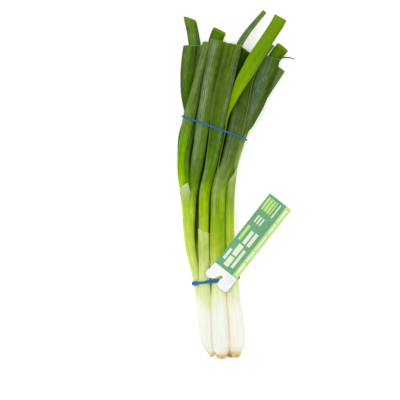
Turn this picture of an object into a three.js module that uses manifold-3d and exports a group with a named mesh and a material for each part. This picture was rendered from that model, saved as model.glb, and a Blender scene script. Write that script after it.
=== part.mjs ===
// A bunch of six spring onions lying on its back, tied by two rubber bands, with a card tag.
// Millimetres. +Y runs from the roots to the leaf tips, +Z is up, the lowest points lie on z = 0.
// Three onions (b, c, d) lie on top of three others (a, e, f). Each one is a trimmed root plate,
// a white bulb and a green top, whose leaves are flattened hollow tubes that were cut across.

import * as THREE from 'three';
import { ParametricGeometry } from 'three/addons/geometries/ParametricGeometry.js';
import { mergeVertices } from 'three/addons/utils/BufferGeometryUtils.js';
import Module from 'manifold-3d';

const wasm = await Module();
wasm.setup();

// ---- driving dimensions ------------------------------------------------------------------

const GAP = 0.3;                  // left between pieces that touch
const LEAF_WALL = 0.7;            // wall of a leaf at its open cut end
const LEAF_POCKET = 8.0;          // how deep the cut end of a leaf is open
const SHEATH_WALL = 0.8;          // rim of the sheath that the leaves come out of
const SHEATH_POCKET = 2.4;        // how deep the leaves stand inside that rim
const LEAF_SIDES = 12;
const STEM_SIDES = 16;
const STATIONS_PER_SPAN = 1;      // rings between two hand-placed points of a leaf
const CUT_FADE = 14.0;            // length over which an oblique cut end fades out

const TABLE = [400, 500, 20];     // wider and longer than the bunch

const ROOT_PLATE_DEPTH = 1.6;
const ROOT_STUB_COUNT = 7;
const ROOT_STUB_LENGTH = 3.9;
const ROOT_STUB_RADIUS = 0.6;

const BAND_RADIUS = 0.95;
const BAND_CLEARANCE = 0.5;       // from the band's inner side to the leaves it is drawn round
const BAND_SIDES = 8;
const BAND_STEPS = 44;
const UPPER_BAND = { left: [-51.7, 65.2], slope: -0.37 };
const LOWER_BAND_STRANDS = [
  { left: [-41.7, -94.2], slope: 0.12 },
  { left: [-41.7, -96.0], slope: 0.16 },
];

const TAG_WIDTH = 26.3;
const TAG_LENGTH = 100.0;
const TAG_THICKNESS = 0.6;
const TAG_HEADING = 51.7;         // degrees from +X to the tag's long axis
const TAG_TIP = [-30.4, -86.9];   // the tag's lower left corner, before its corners are cut
const TAG_HEIGHT = 26.9;
const TAG_DROOP = 1.4;            // degrees that the far end hangs down

// ---- colours -----------------------------------------------------------------------------

const FINISH = {
  bulb: new THREE.MeshStandardMaterial({ color: 0xf2f2e6, roughness: 0.42, metalness: 0 }),
  leaf: new THREE.MeshStandardMaterial({ color: 0x5d8a2c, roughness: 0.5, metalness: 0 }),
  root: new THREE.MeshStandardMaterial({ color: 0xdcc193, roughness: 0.85, metalness: 0 }),
  rubber: new THREE.MeshStandardMaterial({ color: 0x2f6bb0, roughness: 0.6, metalness: 0 }),
  card: new THREE.MeshStandardMaterial({ color: 0x5faa7c, roughness: 0.55, metalness: 0 }),
};

// ---- the onions --------------------------------------------------------------------------
// A stem row is [x, y, z, half width, half height] from the root plate up.
// A leaf row is [x, y, z, width, thickness, roll in degrees] from the stem to the cut tip.
// skew: how much further the left edge of the cut reaches than the right edge.
// lip: how much further the under wall of the cut reaches than the upper wall.

const ONIONS = {
  a: {
    bulb: [
      [-24.8, -159.6, 5.5, 2.6, 2.6],
      [-25.7, -157.4, 5.6, 3.8, 3.8],
      [-27.8, -152.5, 5.7, 5.0, 5.0],
      [-29.6, -146.5, 5.78, 5.7, 5.7],
      [-31.1, -138.0, 5.85, 5.9, 5.9],
      [-32.2, -128.0, 6.3, 5.6, 5.6],
      [-33.84, -113.4, 6.83, 5.2, 5.2],
      [-34.0, -112.0, 6.9, 5.2, 5.2],
    ],
    stem: [
      [-34.05, -111.6, 6.92, 5.2, 5.2],
      [-34.21, -110.2, 6.99, 5.2, 5.2],
      [-35.3, -101.0, 7.6, 5.0, 5.0],
      [-37.2, -90.0, 7.8, 4.9, 4.9],
      [-39.8, -79.0, 8.0, 4.9, 4.9],
      [-43.0, -65.5, 8.5, 5.0, 5.0],
      [-44.8, -53.0, 9.0, 5.3, 5.3],
      [-45.5, -38.0, 9.6, 5.8, 5.7],
      [-45.6, -25.0, 10.0, 6.5, 5.9],
      [-45.8, -14.0, 10.2, 7.5, 6.2],
      [-46.2, -6.0, 10.5, 8.0, 6.4],
    ],
    collar: -2.0,
    leaves: {
      left: {
        rows: [
          [-46.9, -36.0, 9.7, 9.0, 9.6, 0.0],
          [-47.3, -25.0, 10.0, 8.8, 9.4, 0.0],
          [-48.9, -14.0, 10.3, 7.6, 7.6, 0.0],
          [-51.0, -3.0, 10.7, 7.0, 7.0, 0.0],
          [-52.3, 8.0, 11.0, 7.8, 6.4, 0.0],
          [-52.4, 22.0, 11.0, 8.9, 5.8, 0.0],
          [-50.6, 36.0, 10.9, 9.6, 5.6, 0.0],
          [-47.9, 52.0, 10.7, 10.6, 5.2, 0.0],
          [-44.6, 67.0, 10.6, 11.6, 4.8, 0.0],
          [-40.2, 84.0, 10.4, 10.6, 4.5, 0.0],
          [-35.2, 104.0, 9.9, 10.2, 4.2, 0.0],
          [-30.6, 121.0, 9.2, 10.6, 3.9, 0.0],
          [-26.6, 136.5, 8.5, 11.0, 3.7, 0.0],
        ],
        skew: -2.4,
        lip: 1.0,
      },
      front: {
        rows: [
          [-44.4, -36.0, 9.9, 9.4, 10.4, 0.0],
          [-44.0, -25.0, 10.3, 10.0, 11.3, 0.0],
          [-42.6, -12.0, 11.1, 9.6, 10.4, 0.0],
          [-40.7, -3.0, 12.1, 9.2, 9.0, 0.0],
          [-39.6, 7.0, 13.0, 10.2, 7.2, 0.0],
          [-37.4, 23.0, 14.0, 11.8, 4.9, 0.0],
          [-34.7, 42.0, 14.6, 12.2, 4.7, 0.0],
          [-32.0, 61.0, 14.8, 12.7, 4.5, 0.0],
          [-28.5, 80.0, 14.8, 13.4, 4.3, 0.0],
          [-25.1, 100.0, 14.4, 13.4, 4.1, 0.0],
          [-20.9, 119.0, 13.7, 14.4, 3.9, 0.0],
          [-17.2, 137.5, 12.8, 14.8, 3.7, 0.0],
        ],
        skew: 0,
        lip: 0.8,
      },
      outer: {
        rows: [
          [-49.5, -8.0, 8.6, 7.5, 4.4, 0.0],
          [-49.4, 8.0, 7.6, 12.4, 4.0, 0.0],
          [-49.2, 24.0, 6.6, 14.4, 3.8, 0.0],
          [-48.4, 42.0, 5.8, 15.2, 3.8, 0.0],
          [-47.8, 53.0, 5.4, 12.4, 3.8, 0.0],
          [-47.2, 62.0, 5.2, 7.2, 3.8, 0.0],
          [-46.3, 69.0, 5.1, 7.2, 3.8, 0.0],
          [-47.0, 78.0, 5.1, 9.6, 3.8, 0.0],
          [-47.8, 90.0, 5.2, 11.4, 3.7, 0.0],
          [-47.6, 104.0, 5.5, 12.6, 3.6, 0.0],
          [-46.4, 119.0, 5.8, 13.2, 3.5, 0.0],
          [-45.1, 133.2, 6.0, 12.4, 3.5, 0.0],
        ],
        skew: -1.2,
        lip: 1.0,
      },
      inner: {
        rows: [
          [-46.6, -8.0, 10.6, 5.0, 3.6, 0.0],
          [-47.0, 4.0, 11.0, 4.8, 3.4, 0.0],
          [-47.2, 16.0, 10.6, 4.6, 3.2, 0.0],
          [-46.8, 28.0, 10.0, 4.4, 3.0, 0.0],
          [-44.7, 39.0, 9.4, 4.6, 3.0, 0.0],
          [-41.2, 52.0, 8.8, 5.4, 3.0, 0.0],
          [-39.2, 66.0, 8.4, 5.6, 3.0, 0.0],
          [-38.4, 82.0, 8.0, 7.0, 3.0, 0.0],
          [-37.9, 98.0, 7.6, 7.6, 3.0, 0.0],
          [-36.9, 114.0, 7.1, 7.2, 3.0, 0.0],
          [-35.0, 133.2, 6.5, 6.2, 3.0, 0.0],
        ],
        skew: -0.6,
        lip: 0.8,
      },
    },
  },
  b: {
    bulb: [
      [-24.3, -160.6, 18.1, 3.0, 3.0],
      [-25.4, -158.4, 18.3, 4.0, 4.0],
      [-27.6, -153.5, 18.7, 5.1, 5.1],
      [-29.5, -147.0, 18.9, 6.1, 6.1],
      [-30.6, -138.5, 18.9, 6.75, 6.7],
      [-30.95, -125.0, 18.3, 6.6, 6.5],
      [-30.97, -113.4, 17.49, 6.05, 6.0],
      [-30.95, -112.0, 17.4, 6.05, 6.0],
    ],
    stem: [
      [-30.94, -111.6, 17.37, 6.05, 6.0],
      [-30.92, -110.2, 17.28, 6.05, 6.0],
      [-30.5, -97.0, 16.5, 5.5, 5.2],
      [-30.7, -84.0, 16.1, 5.25, 5.0],
      [-30.95, -71.0, 16.0, 5.3, 5.0],
      [-31.25, -55.0, 16.0, 5.4, 5.1],
      [-31.4, -45.0, 16.0, 5.4, 5.2],
    ],
    collar: 3.4,
    core: [
      [-31.4, -53.0, 16.0, 4.5, 4.5],
      [-31.4, -45.0, 16.0, 4.85, 4.7],
      [-31.2, -30.0, 16.0, 4.9, 4.7],
      [-31.0, -15.0, 15.9, 4.9, 4.6],
      [-30.4, -5.0, 15.8, 4.7, 4.2],
      [-29.6, 2.0, 15.7, 4.2, 3.4],
    ],
    leaves: {
      front: {
        rows: [
          [-31.4, -36.0, 16.0, 9.4, 9.0, 0.0],
          [-31.1, -26.0, 16.0, 10.0, 9.5, 0.0],
          [-30.9, -16.0, 15.95, 10.4, 9.4, 0.0],
          [-30.0, -6.0, 15.9, 10.7, 8.2, 0.0],
          [-27.7, 4.0, 16.0, 11.0, 6.8, 0.0],
          [-25.4, 14.0, 16.1, 11.0, 5.2, 0.0],
          [-23.2, 25.0, 16.2, 12.1, 4.8, 2.0],
          [-20.2, 42.0, 16.2, 13.2, 4.6, 4.0],
          [-17.8, 61.0, 16.0, 14.7, 4.5, 5.0],
          [-14.4, 80.0, 15.7, 15.8, 4.3, 5.0],
          [-10.7, 100.0, 15.0, 16.6, 4.1, 5.0],
          [-6.3, 119.0, 14.1, 16.8, 3.9, 4.0],
          [-2.8, 134.0, 13.2, 16.4, 3.7, 3.0],
        ],
        skew: -0.7,
        lip: 1.2,
      },
      thin: {
        rows: [
          [-29.6, -8.0, 14.0, 6.0, 4.0, 0.0],
          [-27.0, 10.0, 12.4, 6.0, 3.8, 0.0],
          [-23.2, 32.0, 11.4, 6.4, 3.8, 0.0],
          [-19.6, 54.0, 10.8, 6.6, 3.8, 0.0],
          [-15.2, 74.0, 10.6, 6.6, 3.8, 0.0],
          [-10.6, 94.0, 10.2, 6.6, 3.8, 0.0],
          [-6.8, 109.0, 9.7, 6.4, 3.8, 0.0],
          [-2.0, 122.5, 9.2, 6.4, 3.7, 0.0],
          [3.0, 133.5, 8.8, 6.2, 3.6, 0.0],
          [7.6, 141.3, 8.6, 5.9, 3.4, 0.0],
          [12.8, 148.5, 8.6, 5.4, 3.3, 0.0],
          [20.0, 157.5, 8.8, 4.9, 3.2, 0.0],
          [26.8, 165.7, 9.2, 4.7, 3.2, 0.0],
        ],
        skew: 0,
        lip: 1.6,
      },
    },
  },
  c: {
    bulb: [
      [-14.4, -161.8, 18.8, 5.0, 4.8],
      [-14.4, -160.0, 19.0, 6.5, 6.2],
      [-14.7, -157.0, 19.2, 7.8, 6.9],
      [-14.8, -152.5, 19.4, 8.4, 7.2],
      [-15.3, -145.0, 19.75, 8.2, 7.4],
      [-15.9, -134.0, 19.6, 8.0, 7.4],
      [-16.6, -123.0, 18.9, 7.75, 7.2],
      [-17.16, -113.4, 18.45, 7.4, 6.9],
      [-17.2, -112.0, 18.4, 7.4, 6.9],
    ],
    stem: [
      [-17.21, -111.6, 18.39, 7.4, 6.9],
      [-17.25, -110.2, 18.34, 7.4, 6.9],
      [-17.3, -99.0, 18.1, 6.9, 6.3],
      [-17.8, -82.0, 17.7, 6.7, 6.3],
      [-18.4, -67.0, 17.7, 7.0, 6.5],
      [-18.5, -52.0, 17.6, 6.95, 6.7],
      [-18.3, -34.0, 17.5, 6.6, 6.5],
      [-17.9, -22.0, 17.5, 6.1, 6.0],
      [-17.6, -12.0, 17.5, 5.6, 5.4],
    ],
    collar: 2.0,
    leaves: {
      front: {
        rows: [
          [-18.4, -38.0, 17.5, 12.8, 12.6, 0.0],
          [-18.0, -26.0, 17.5, 13.4, 13.1, 0.0],
          [-17.7, -14.0, 17.5, 13.6, 12.8, 0.0],
          [-16.9, -4.0, 17.4, 13.7, 11.2, 0.0],
          [-15.2, 4.0, 17.3, 13.4, 9.4, 0.0],
          [-12.8, 11.0, 17.2, 12.9, 7.2, 0.0],
          [-9.9, 18.0, 17.1, 12.6, 5.6, 0.0],
          [-6.9, 28.0, 16.9, 13.4, 4.4, 0.0],
          [-3.2, 42.0, 16.6, 14.2, 4.2, 0.0],
          [0.3, 57.0, 16.2, 15.0, 4.0, 0.0],
          [3.2, 71.0, 15.7, 15.0, 3.9, 0.0],
          [6.0, 85.0, 15.0, 14.6, 3.8, 0.0],
          [9.0, 99.0, 14.3, 14.2, 3.7, 0.0],
          [13.0, 111.0, 13.7, 14.0, 3.6, 0.0],
          [19.4, 121.5, 13.1, 14.0, 3.5, 0.0],
          [26.5, 130.5, 12.7, 13.6, 3.5, 0.0],
          [31.5, 136.0, 12.4, 13.0, 3.4, 0.0],
        ],
        skew: 0,
        lip: 1.0,
      },
      blade: {
        rows: [
          [-18.2, -10.0, 17.6, 4.0, 2.0, 30.0],
          [-18.2, 4.0, 17.9, 4.4, 1.6, 62.0],
          [-17.9, 14.0, 18.2, 4.8, 1.2, 80.0],
          [-16.6, 23.0, 18.5, 5.4, 0.9, 86.0],
          [-14.0, 35.0, 18.5, 6.2, 0.9, 86.0],
          [-11.0, 51.0, 18.2, 7.4, 1.1, 84.0],
          [-9.4, 61.4, 18.0, 8.6, 1.5, 80.0],
          [-7.4, 69.0, 18.1, 10.0, 1.5, 73.0],
          [-5.1, 76.0, 18.3, 11.5, 1.6, 61.0],
          [-2.0, 84.4, 18.4, 12.6, 1.6, 49.0],
          [1.7, 92.0, 18.2, 13.2, 1.7, 37.0],
          [5.7, 99.7, 17.9, 13.5, 1.7, 26.0],
          [10.7, 108.0, 17.4, 13.6, 1.8, 17.0],
          [16.1, 118.0, 17.1, 13.6, 1.8, 10.0],
          [20.8, 125.0, 16.8, 13.4, 1.8, 7.0],
          [29.1, 138.0, 16.3, 12.8, 1.8, 4.0],
          [38.7, 153.0, 15.8, 13.0, 1.8, 2.0],
          [42.2, 159.6, 15.6, 12.8, 1.8, 2.0],
        ],
        skew: 0.5,
        lip: 0,
        solid: true,
      },
    },
  },
  d: {
    bulb: [
      [-0.5, -160.2, 18.2, 4.8, 4.6],
      [-0.3, -158.0, 18.4, 6.2, 5.9],
      [0.6, -153.5, 18.8, 7.2, 7.1],
      [0.8, -146.0, 19.1, 7.9, 7.5],
      [0.2, -137.0, 18.9, 8.0, 7.5],
      [-1.3, -124.0, 18.3, 7.5, 7.0],
      [-2.78, -113.4, 17.83, 6.9, 6.4],
      [-2.9, -112.0, 17.8, 6.9, 6.4],
    ],
    stem: [
      [-2.93, -111.6, 17.79, 6.9, 6.4],
      [-3.05, -110.2, 17.77, 6.9, 6.4],
      [-3.5, -98.0, 17.8, 6.0, 5.8],
      [-5.0, -80.0, 16.4, 5.4, 5.4],
      [-6.7, -62.0, 14.2, 5.0, 5.0],
      [-7.2, -44.0, 13.1, 5.0, 5.0],
      [-7.3, -27.0, 12.8, 4.9, 4.9],
      [-6.9, -14.0, 12.5, 4.9, 4.9],
      [-6.2, -4.0, 12.1, 4.9, 4.8],
      [-5.4, 4.0, 11.9, 4.9, 4.7],
    ],
    collar: -12.0,
    leaves: {
      front: {
        rows: [
          [-7.4, -38.0, 13.0, 8.6, 8.6, 0.0],
          [-7.3, -26.0, 12.8, 8.8, 8.8, 0.0],
          [-6.9, -14.0, 12.5, 8.9, 8.9, 0.0],
          [-6.1, -3.0, 12.1, 8.8, 8.6, 0.0],
          [-5.9, 7.0, 12.0, 7.2, 7.0, 0.0],
          [-5.1, 16.0, 12.1, 5.8, 5.6, 0.0],
          [-3.0, 28.0, 12.2, 5.4, 4.0, 0.0],
          [0.1, 40.0, 12.2, 5.9, 3.8, 0.0],
          [4.2, 50.0, 12.0, 9.0, 3.7, 2.0],
          [9.3, 58.0, 11.9, 13.2, 3.6, 3.0],
          [13.8, 67.0, 11.6, 14.6, 3.6, 4.0],
          [18.6, 78.0, 11.1, 16.4, 3.5, 4.0],
          [23.1, 91.0, 10.5, 18.4, 3.5, 3.0],
          [26.6, 102.0, 10.0, 19.4, 3.4, 2.0],
          [30.2, 112.0, 9.5, 19.2, 3.4, 0.0],
          [33.0, 122.0, 9.0, 17.5, 3.4, 0.0],
        ],
        skew: 0.7,
        lip: 0.8,
      },
      side: {
        rows: [
          [-6.4, -12.0, 11.0, 6.0, 4.0, 0.0],
          [-4.6, 5.0, 9.8, 7.0, 3.6, 0.0],
          [-2.2, 20.0, 9.4, 8.2, 3.4, 0.0],
          [1.6, 34.0, 9.0, 8.4, 3.3, 0.0],
          [5.6, 46.0, 8.7, 8.8, 3.2, 0.0],
          [9.4, 56.0, 8.3, 9.2, 3.2, 0.0],
          [17.0, 70.5, 7.8, 10.0, 3.2, 0.0],
          [21.9, 79.0, 7.4, 10.4, 3.2, 0.0],
          [28.4, 90.4, 6.9, 10.6, 3.2, 0.0],
          [35.5, 101.0, 6.3, 10.6, 3.1, 0.0],
          [42.3, 111.0, 5.9, 10.6, 3.0, 0.0],
        ],
        skew: 0,
        lip: 1.0,
      },
    },
  },
  e: {
    bulb: [
      [-18.4, -159.4, 5.9, 3.1, 3.1],
      [-18.4, -156.0, 6.0, 4.8, 4.8],
      [-18.5, -150.0, 6.2, 5.9, 5.9],
      [-18.6, -142.0, 6.08, 6.2, 6.2],
      [-19.2, -130.0, 6.4, 6.0, 6.0],
      [-20.98, -113.4, 6.85, 5.4, 5.4],
      [-21.2, -112.0, 6.9, 5.4, 5.4],
    ],
    stem: [
      [-21.26, -111.6, 6.91, 5.4, 5.4],
      [-21.49, -110.2, 6.96, 5.4, 5.4],
      [-24.6, -96.0, 7.9, 5.0, 5.0],
      [-30.8, -77.0, 6.0, 4.7, 4.7],
      [-35.2, -60.0, 5.4, 4.4, 4.4],
      [-36.5, -42.0, 5.2, 4.3, 4.3],
      [-37.0, -25.0, 5.1, 4.3, 4.3],
      [-36.8, -8.0, 5.2, 4.6, 4.3],
      [-35.8, 8.0, 5.2, 5.2, 4.0],
    ],
    collar: 3.0,
    leaves: {
      left: {
        rows: [
          [-37.4, -12.0, 5.4, 7.6, 5.0, 0.0],
          [-37.4, 6.0, 5.6, 8.2, 4.8, 0.0],
          [-37.0, 24.0, 5.6, 9.0, 4.4, 0.0],
          [-35.2, 42.0, 5.4, 9.2, 4.0, 0.0],
          [-31.2, 61.0, 5.1, 8.6, 3.8, 0.0],
          [-33.0, 80.0, 4.4, 9.4, 3.7, 0.0],
          [-35.0, 100.0, 3.4, 10.2, 3.6, 0.0],
          [-37.6, 119.0, 2.4, 11.0, 3.5, 0.0],
          [-39.9, 134.0, 1.95, 11.4, 3.4, 0.0],
          [-42.1, 147.6, 1.68, 11.4, 3.4, 0.0],
          [-44.6, 158.6, 1.6, 11.4, 3.4, 0.0],
        ],
        skew: 6.4,
        lip: 3.5,
      },
      right: {
        rows: [
          [-35.8, -12.0, 5.4, 7.6, 5.0, 0.0],
          [-33.2, 6.0, 5.6, 7.8, 4.8, 0.0],
          [-29.4, 24.0, 5.6, 8.0, 4.4, 0.0],
          [-25.8, 42.0, 5.4, 8.4, 4.0, 0.0],
          [-23.6, 61.0, 5.1, 9.0, 3.8, 0.0],
          [-24.0, 80.0, 4.6, 10.0, 3.7, 0.0],
          [-24.2, 97.0, 4.0, 11.2, 3.6, 0.0],
          [-23.4, 112.0, 3.4, 12.2, 3.6, 0.0],
          [-22.0, 125.0, 2.8, 13.0, 3.5, 0.0],
          [-19.8, 138.0, 2.3, 13.6, 3.4, 0.0],
          [-16.4, 147.6, 2.0, 13.6, 3.4, 0.0],
        ],
        skew: 1.4,
        lip: 3.0,
      },
    },
  },
  f: {
    bulb: [
      [-6.0, -161.6, 5.9, 3.1, 3.1],
      [-5.7, -158.8, 6.0, 4.6, 4.6],
      [-5.4, -153.0, 6.2, 5.8, 5.8],
      [-5.2, -144.0, 6.18, 6.3, 6.3],
      [-5.9, -131.0, 6.4, 6.1, 6.1],
      [-7.91, -113.4, 6.85, 5.4, 5.4],
      [-8.2, -112.0, 6.9, 5.4, 5.4],
    ],
    stem: [
      [-8.28, -111.6, 6.91, 5.4, 5.4],
      [-8.58, -110.2, 6.96, 5.4, 5.4],
      [-13.2, -96.0, 8.2, 5.2, 5.2],
      [-19.6, -77.0, 6.8, 5.1, 5.1],
      [-22.4, -59.0, 6.3, 5.1, 5.1],
      [-23.4, -41.0, 6.3, 5.1, 5.1],
      [-23.5, -24.0, 6.3, 5.1, 5.1],
      [-22.8, -8.0, 6.2, 5.0, 5.0],
      [-20.6, 6.0, 6.0, 5.0, 4.6],
    ],
    collar: 2.0,
    leaves: {
      left: {
        rows: [
          [-23.4, -12.0, 6.2, 7.2, 5.0, 0.0],
          [-21.2, 5.0, 6.2, 7.6, 4.6, 0.0],
          [-17.8, 20.0, 6.2, 7.8, 4.2, 0.0],
          [-14.0, 35.0, 6.2, 8.0, 4.0, 0.0],
          [-10.6, 50.0, 6.2, 8.2, 3.8, 0.0],
          [-7.6, 66.0, 6.4, 8.8, 3.7, 0.0],
          [-4.9, 82.0, 6.8, 9.4, 3.6, 0.0],
          [-1.2, 96.0, 7.2, 10.0, 3.5, 0.0],
          [2.2, 107.0, 7.6, 11.4, 3.5, 0.0],
          [6.1, 118.0, 8.0, 12.4, 3.4, 0.0],
          [10.1, 127.8, 8.4, 12.4, 3.4, 0.0],
        ],
        skew: 3.4,
        lip: 1.2,
      },
      right: {
        rows: [
          [-22.2, -12.0, 6.0, 7.2, 4.8, 0.0],
          [-18.6, 5.0, 5.5, 7.6, 4.2, 0.0],
          [-12.8, 20.0, 4.9, 7.8, 3.8, 0.0],
          [-5.8, 34.0, 4.6, 8.2, 3.5, 0.0],
          [2.2, 48.0, 4.4, 8.8, 3.4, 0.0],
          [10.4, 62.0, 4.2, 9.6, 3.4, 0.0],
          [16.7, 76.5, 3.7, 10.4, 3.3, 0.0],
          [21.9, 90.0, 3.0, 11.2, 3.3, 0.0],
          [27.2, 103.5, 2.3, 12.0, 3.2, 0.0],
          [32.4, 114.0, 1.9, 12.4, 3.2, 0.0],
          [38.2, 123.4, 1.6, 12.4, 3.2, 0.0],
          [44.4, 131.2, 1.5, 12.4, 3.2, 0.0],
        ],
        skew: 0,
        lip: 3.5,
      },
      dry_tip: {
        rows: [
          [36.0, 121.8, 1.9, 2.0, 1.0, 0.0],
          [41.0, 121.6, 2.6, 1.8, 0.9, 0.0],
          [46.2, 121.9, 3.0, 1.5, 0.8, 0.0],
          [51.6, 121.6, 3.1, 1.2, 0.8, 0.0],
          [56.8, 120.0, 2.9, 0.8, 0.7, 0.0],
        ],
        skew: 0,
        lip: 0,
        solid: true,
      },
    },
  },
};

// What lies on top keeps its shape; each later one gives way to those before it.
const YIELD_ORDER = ['b', 'c', 'a', 'd', 'f', 'e'];

// ---- lofts -------------------------------------------------------------------------------

/** Smooth value between the rows of a table at position t, counted in rows. */
function rowAt(rows, t) {
  const last = rows.length - 1;
  const k = Math.min(Math.floor(t), last - 1);
  const f = t - k;
  const pick = (i) => rows[Math.max(0, Math.min(last, i))];
  const [p0, p1, p2, p3] = [pick(k - 1), pick(k), pick(k + 1), pick(k + 2)];
  return p1.map((_, i) => {
    const a = 2 * p1[i];
    const b = p2[i] - p0[i];
    const c = 2 * p0[i] - 5 * p1[i] + 4 * p2[i] - p3[i];
    const d = 3 * p1[i] - p0[i] - 3 * p2[i] + p3[i];
    return 0.5 * (a + b * f + c * f * f + d * f * f * f);
  });
}

/** A ring's place and its three directions: along the spine, across it and out of its flat side. */
function stationAt(rows, t) {
  const step = 0.02;
  const last = rows.length - 1;
  const row = rowAt(rows, t);
  const before = rowAt(rows, Math.max(0, t - step));
  const after = rowAt(rows, Math.min(last, t + step));
  const centre = new THREE.Vector3(...row.slice(0, 3));
  const along = new THREE.Vector3(...after.slice(0, 3)).sub(new THREE.Vector3(...before.slice(0, 3)));
  along.normalize();
  const across = along.clone().cross(new THREE.Vector3(0, 0, 1)).normalize();
  const roll = THREE.MathUtils.degToRad(row[5] ?? 0);
  across.applyAxisAngle(along, -roll);
  const out = across.clone().cross(along);
  return { centre, along, across, out, row };
}

/** A closed surface through rings of points, each end drawn together to the middle of its ring. */
function skin(rings) {
  const sides = rings[0].length;
  const middle = (ring) => {
    const sum = ring.reduce((total, p) => total.add(p), new THREE.Vector3());
    return ring.map(() => sum.clone().divideScalar(sides));
  };
  const rows = [middle(rings[0]), ...rings, middle(rings.at(-1))];
  const place = (u, v, target) => {
    const row = rows[Math.round(v * (rows.length - 1))];
    target.copy(row[Math.round(u * sides) % sides]);
  };
  return new ParametricGeometry(place, sides, rows.length - 1);
}

/** A closed tube through rings of points that come round to the first one again. */
function hoop(rings) {
  const sides = rings[0].length;
  const place = (u, v, target) => {
    const ring = rings[Math.round(v * rings.length) % rings.length];
    target.copy(ring[Math.round(u * sides) % sides]);
  };
  return new ParametricGeometry(place, sides, rings.length);
}

/** The solid inside a closed surface, with its faces pointing out. */
function solid(geometry) {
  const bare = geometry.index ? geometry.toNonIndexed() : geometry.clone();
  bare.deleteAttribute('normal');
  bare.deleteAttribute('uv');
  const merged = mergeVertices(bare, 1e-4);
  const index = merged.index.array;
  const kept = [];
  for (let i = 0; i < index.length; i += 3) {
    const [a, b, c] = [index[i], index[i + 1], index[i + 2]];
    if (a !== b && b !== c && c !== a) kept.push(a, b, c);
  }
  const vertProperties = new Float32Array(merged.attributes.position.array);
  const make = (tris) => new wasm.Manifold(
    new wasm.Mesh({ numProp: 3, vertProperties, triVerts: new Uint32Array(tris) }),
  );
  const body = make(kept);
  if (body.volume() > 0) return body;
  const turned = [];
  for (let i = 0; i < kept.length; i += 3) turned.push(kept[i], kept[i + 2], kept[i + 1]);
  return make(turned);
}

/** A ring with an oval section, at a station, in a stem. */
function ovalRing(station, halfWidth, halfHeight, shift = 0, slant = 0) {
  return Array.from({ length: STEM_SIDES }, (_, i) => {
    const angle = (2 * Math.PI * i) / STEM_SIDES;
    const x = Math.cos(angle);
    const z = Math.sin(angle);
    return station.centre.clone()
      .addScaledVector(station.across, halfWidth * x)
      .addScaledVector(station.out, halfHeight * z)
      .addScaledVector(station.along, shift + slant * x);
  });
}

/** A ring of a flattened leaf: two shallow arches that meet in soft side edges. */
function leafRing(station, width, thickness, skew, lip) {
  return Array.from({ length: LEAF_SIDES }, (_, i) => {
    const angle = (2 * Math.PI * i) / LEAF_SIDES;
    const x = Math.cos(angle);
    const z = Math.sin(angle);
    const flat = Math.sign(x) * Math.abs(x) ** 0.85;
    return station.centre.clone()
      .addScaledVector(station.across, (width / 2) * flat)
      .addScaledVector(station.out, (thickness / 2) * z)
      .addScaledVector(station.along, (-skew / 2) * flat - (lip / 2) * z);
  });
}

/** A stem or bulb: plain at the ends, or with an open rim where leaves come out. */
function stemSolid(rows, collar, grow = 0) {
  const stations = rows.map((_, i) => stationAt(rows, i));
  const last = rows.length - 1;
  const rings = stations.map((s, i) => {
    const slant = i === last ? (collar ?? 0) / 2 : 0;
    const shift = i === last ? grow : i === 0 ? -grow : 0;
    return ovalRing(s, s.row[3] + grow, s.row[4] + grow, shift, -slant);
  });
  if (collar !== undefined && grow === 0) {
    const top = stations.at(-1);
    const width = top.row[3] - SHEATH_WALL;
    const height = top.row[4] - SHEATH_WALL;
    rings.push(ovalRing(top, width, height, 0, -collar / 2));
    rings.push(ovalRing(top, width, height, -SHEATH_POCKET, -collar / 2));
  }
  return solid(skin(rings));
}

/** A leaf: a flattened tube along its spine, open at the cut end. grow thickens it all over. */
function leafSolid(leaf, grow = 0) {
  const { rows, skew, lip } = leaf;
  const last = rows.length - 1;
  const tip = new THREE.Vector3(...rows[last].slice(0, 3));
  const steps = last * STATIONS_PER_SPAN;
  const rings = Array.from({ length: steps + 1 }, (_, i) => {
    const s = stationAt(rows, i / STATIONS_PER_SPAN);
    const fade = Math.max(0, 1 - s.centre.distanceTo(tip) / CUT_FADE) ** 1.5;
    return leafRing(s, s.row[3] + 2 * grow, s.row[4] + 2 * grow, skew * fade, lip * fade);
  });
  const end = stationAt(rows, last);
  if (grow > 0) {
    const past = { ...end, centre: end.centre.clone().addScaledVector(end.along, grow) };
    rings.push(leafRing(past, end.row[3] + 2 * grow, end.row[4] + 2 * grow, skew, lip));
  } else if (!leaf.solid) {
    const floorAt = { ...end, centre: end.centre.clone().addScaledVector(end.along, -LEAF_POCKET) };
    const width = end.row[3] - 2.4 * LEAF_WALL;
    const thickness = end.row[4] - 2 * LEAF_WALL;
    rings.push(leafRing(end, width, thickness, skew, lip));
    rings.push(leafRing(floorAt, width, thickness * 0.7, 0, 0));
  }
  return solid(skin(rings));
}

/** All of an onion's green top in one solid; grow thickens every part of it. */
function greenTop(onion, grow = 0) {
  const parts = [stemSolid(onion.stem, onion.collar, grow)];
  if (onion.core) parts.push(stemSolid(onion.core, undefined, grow));
  for (const leaf of Object.values(onion.leaves)) parts.push(leafSolid(leaf, grow));
  return parts.reduce((whole, part) => whole.add(part));
}

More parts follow.
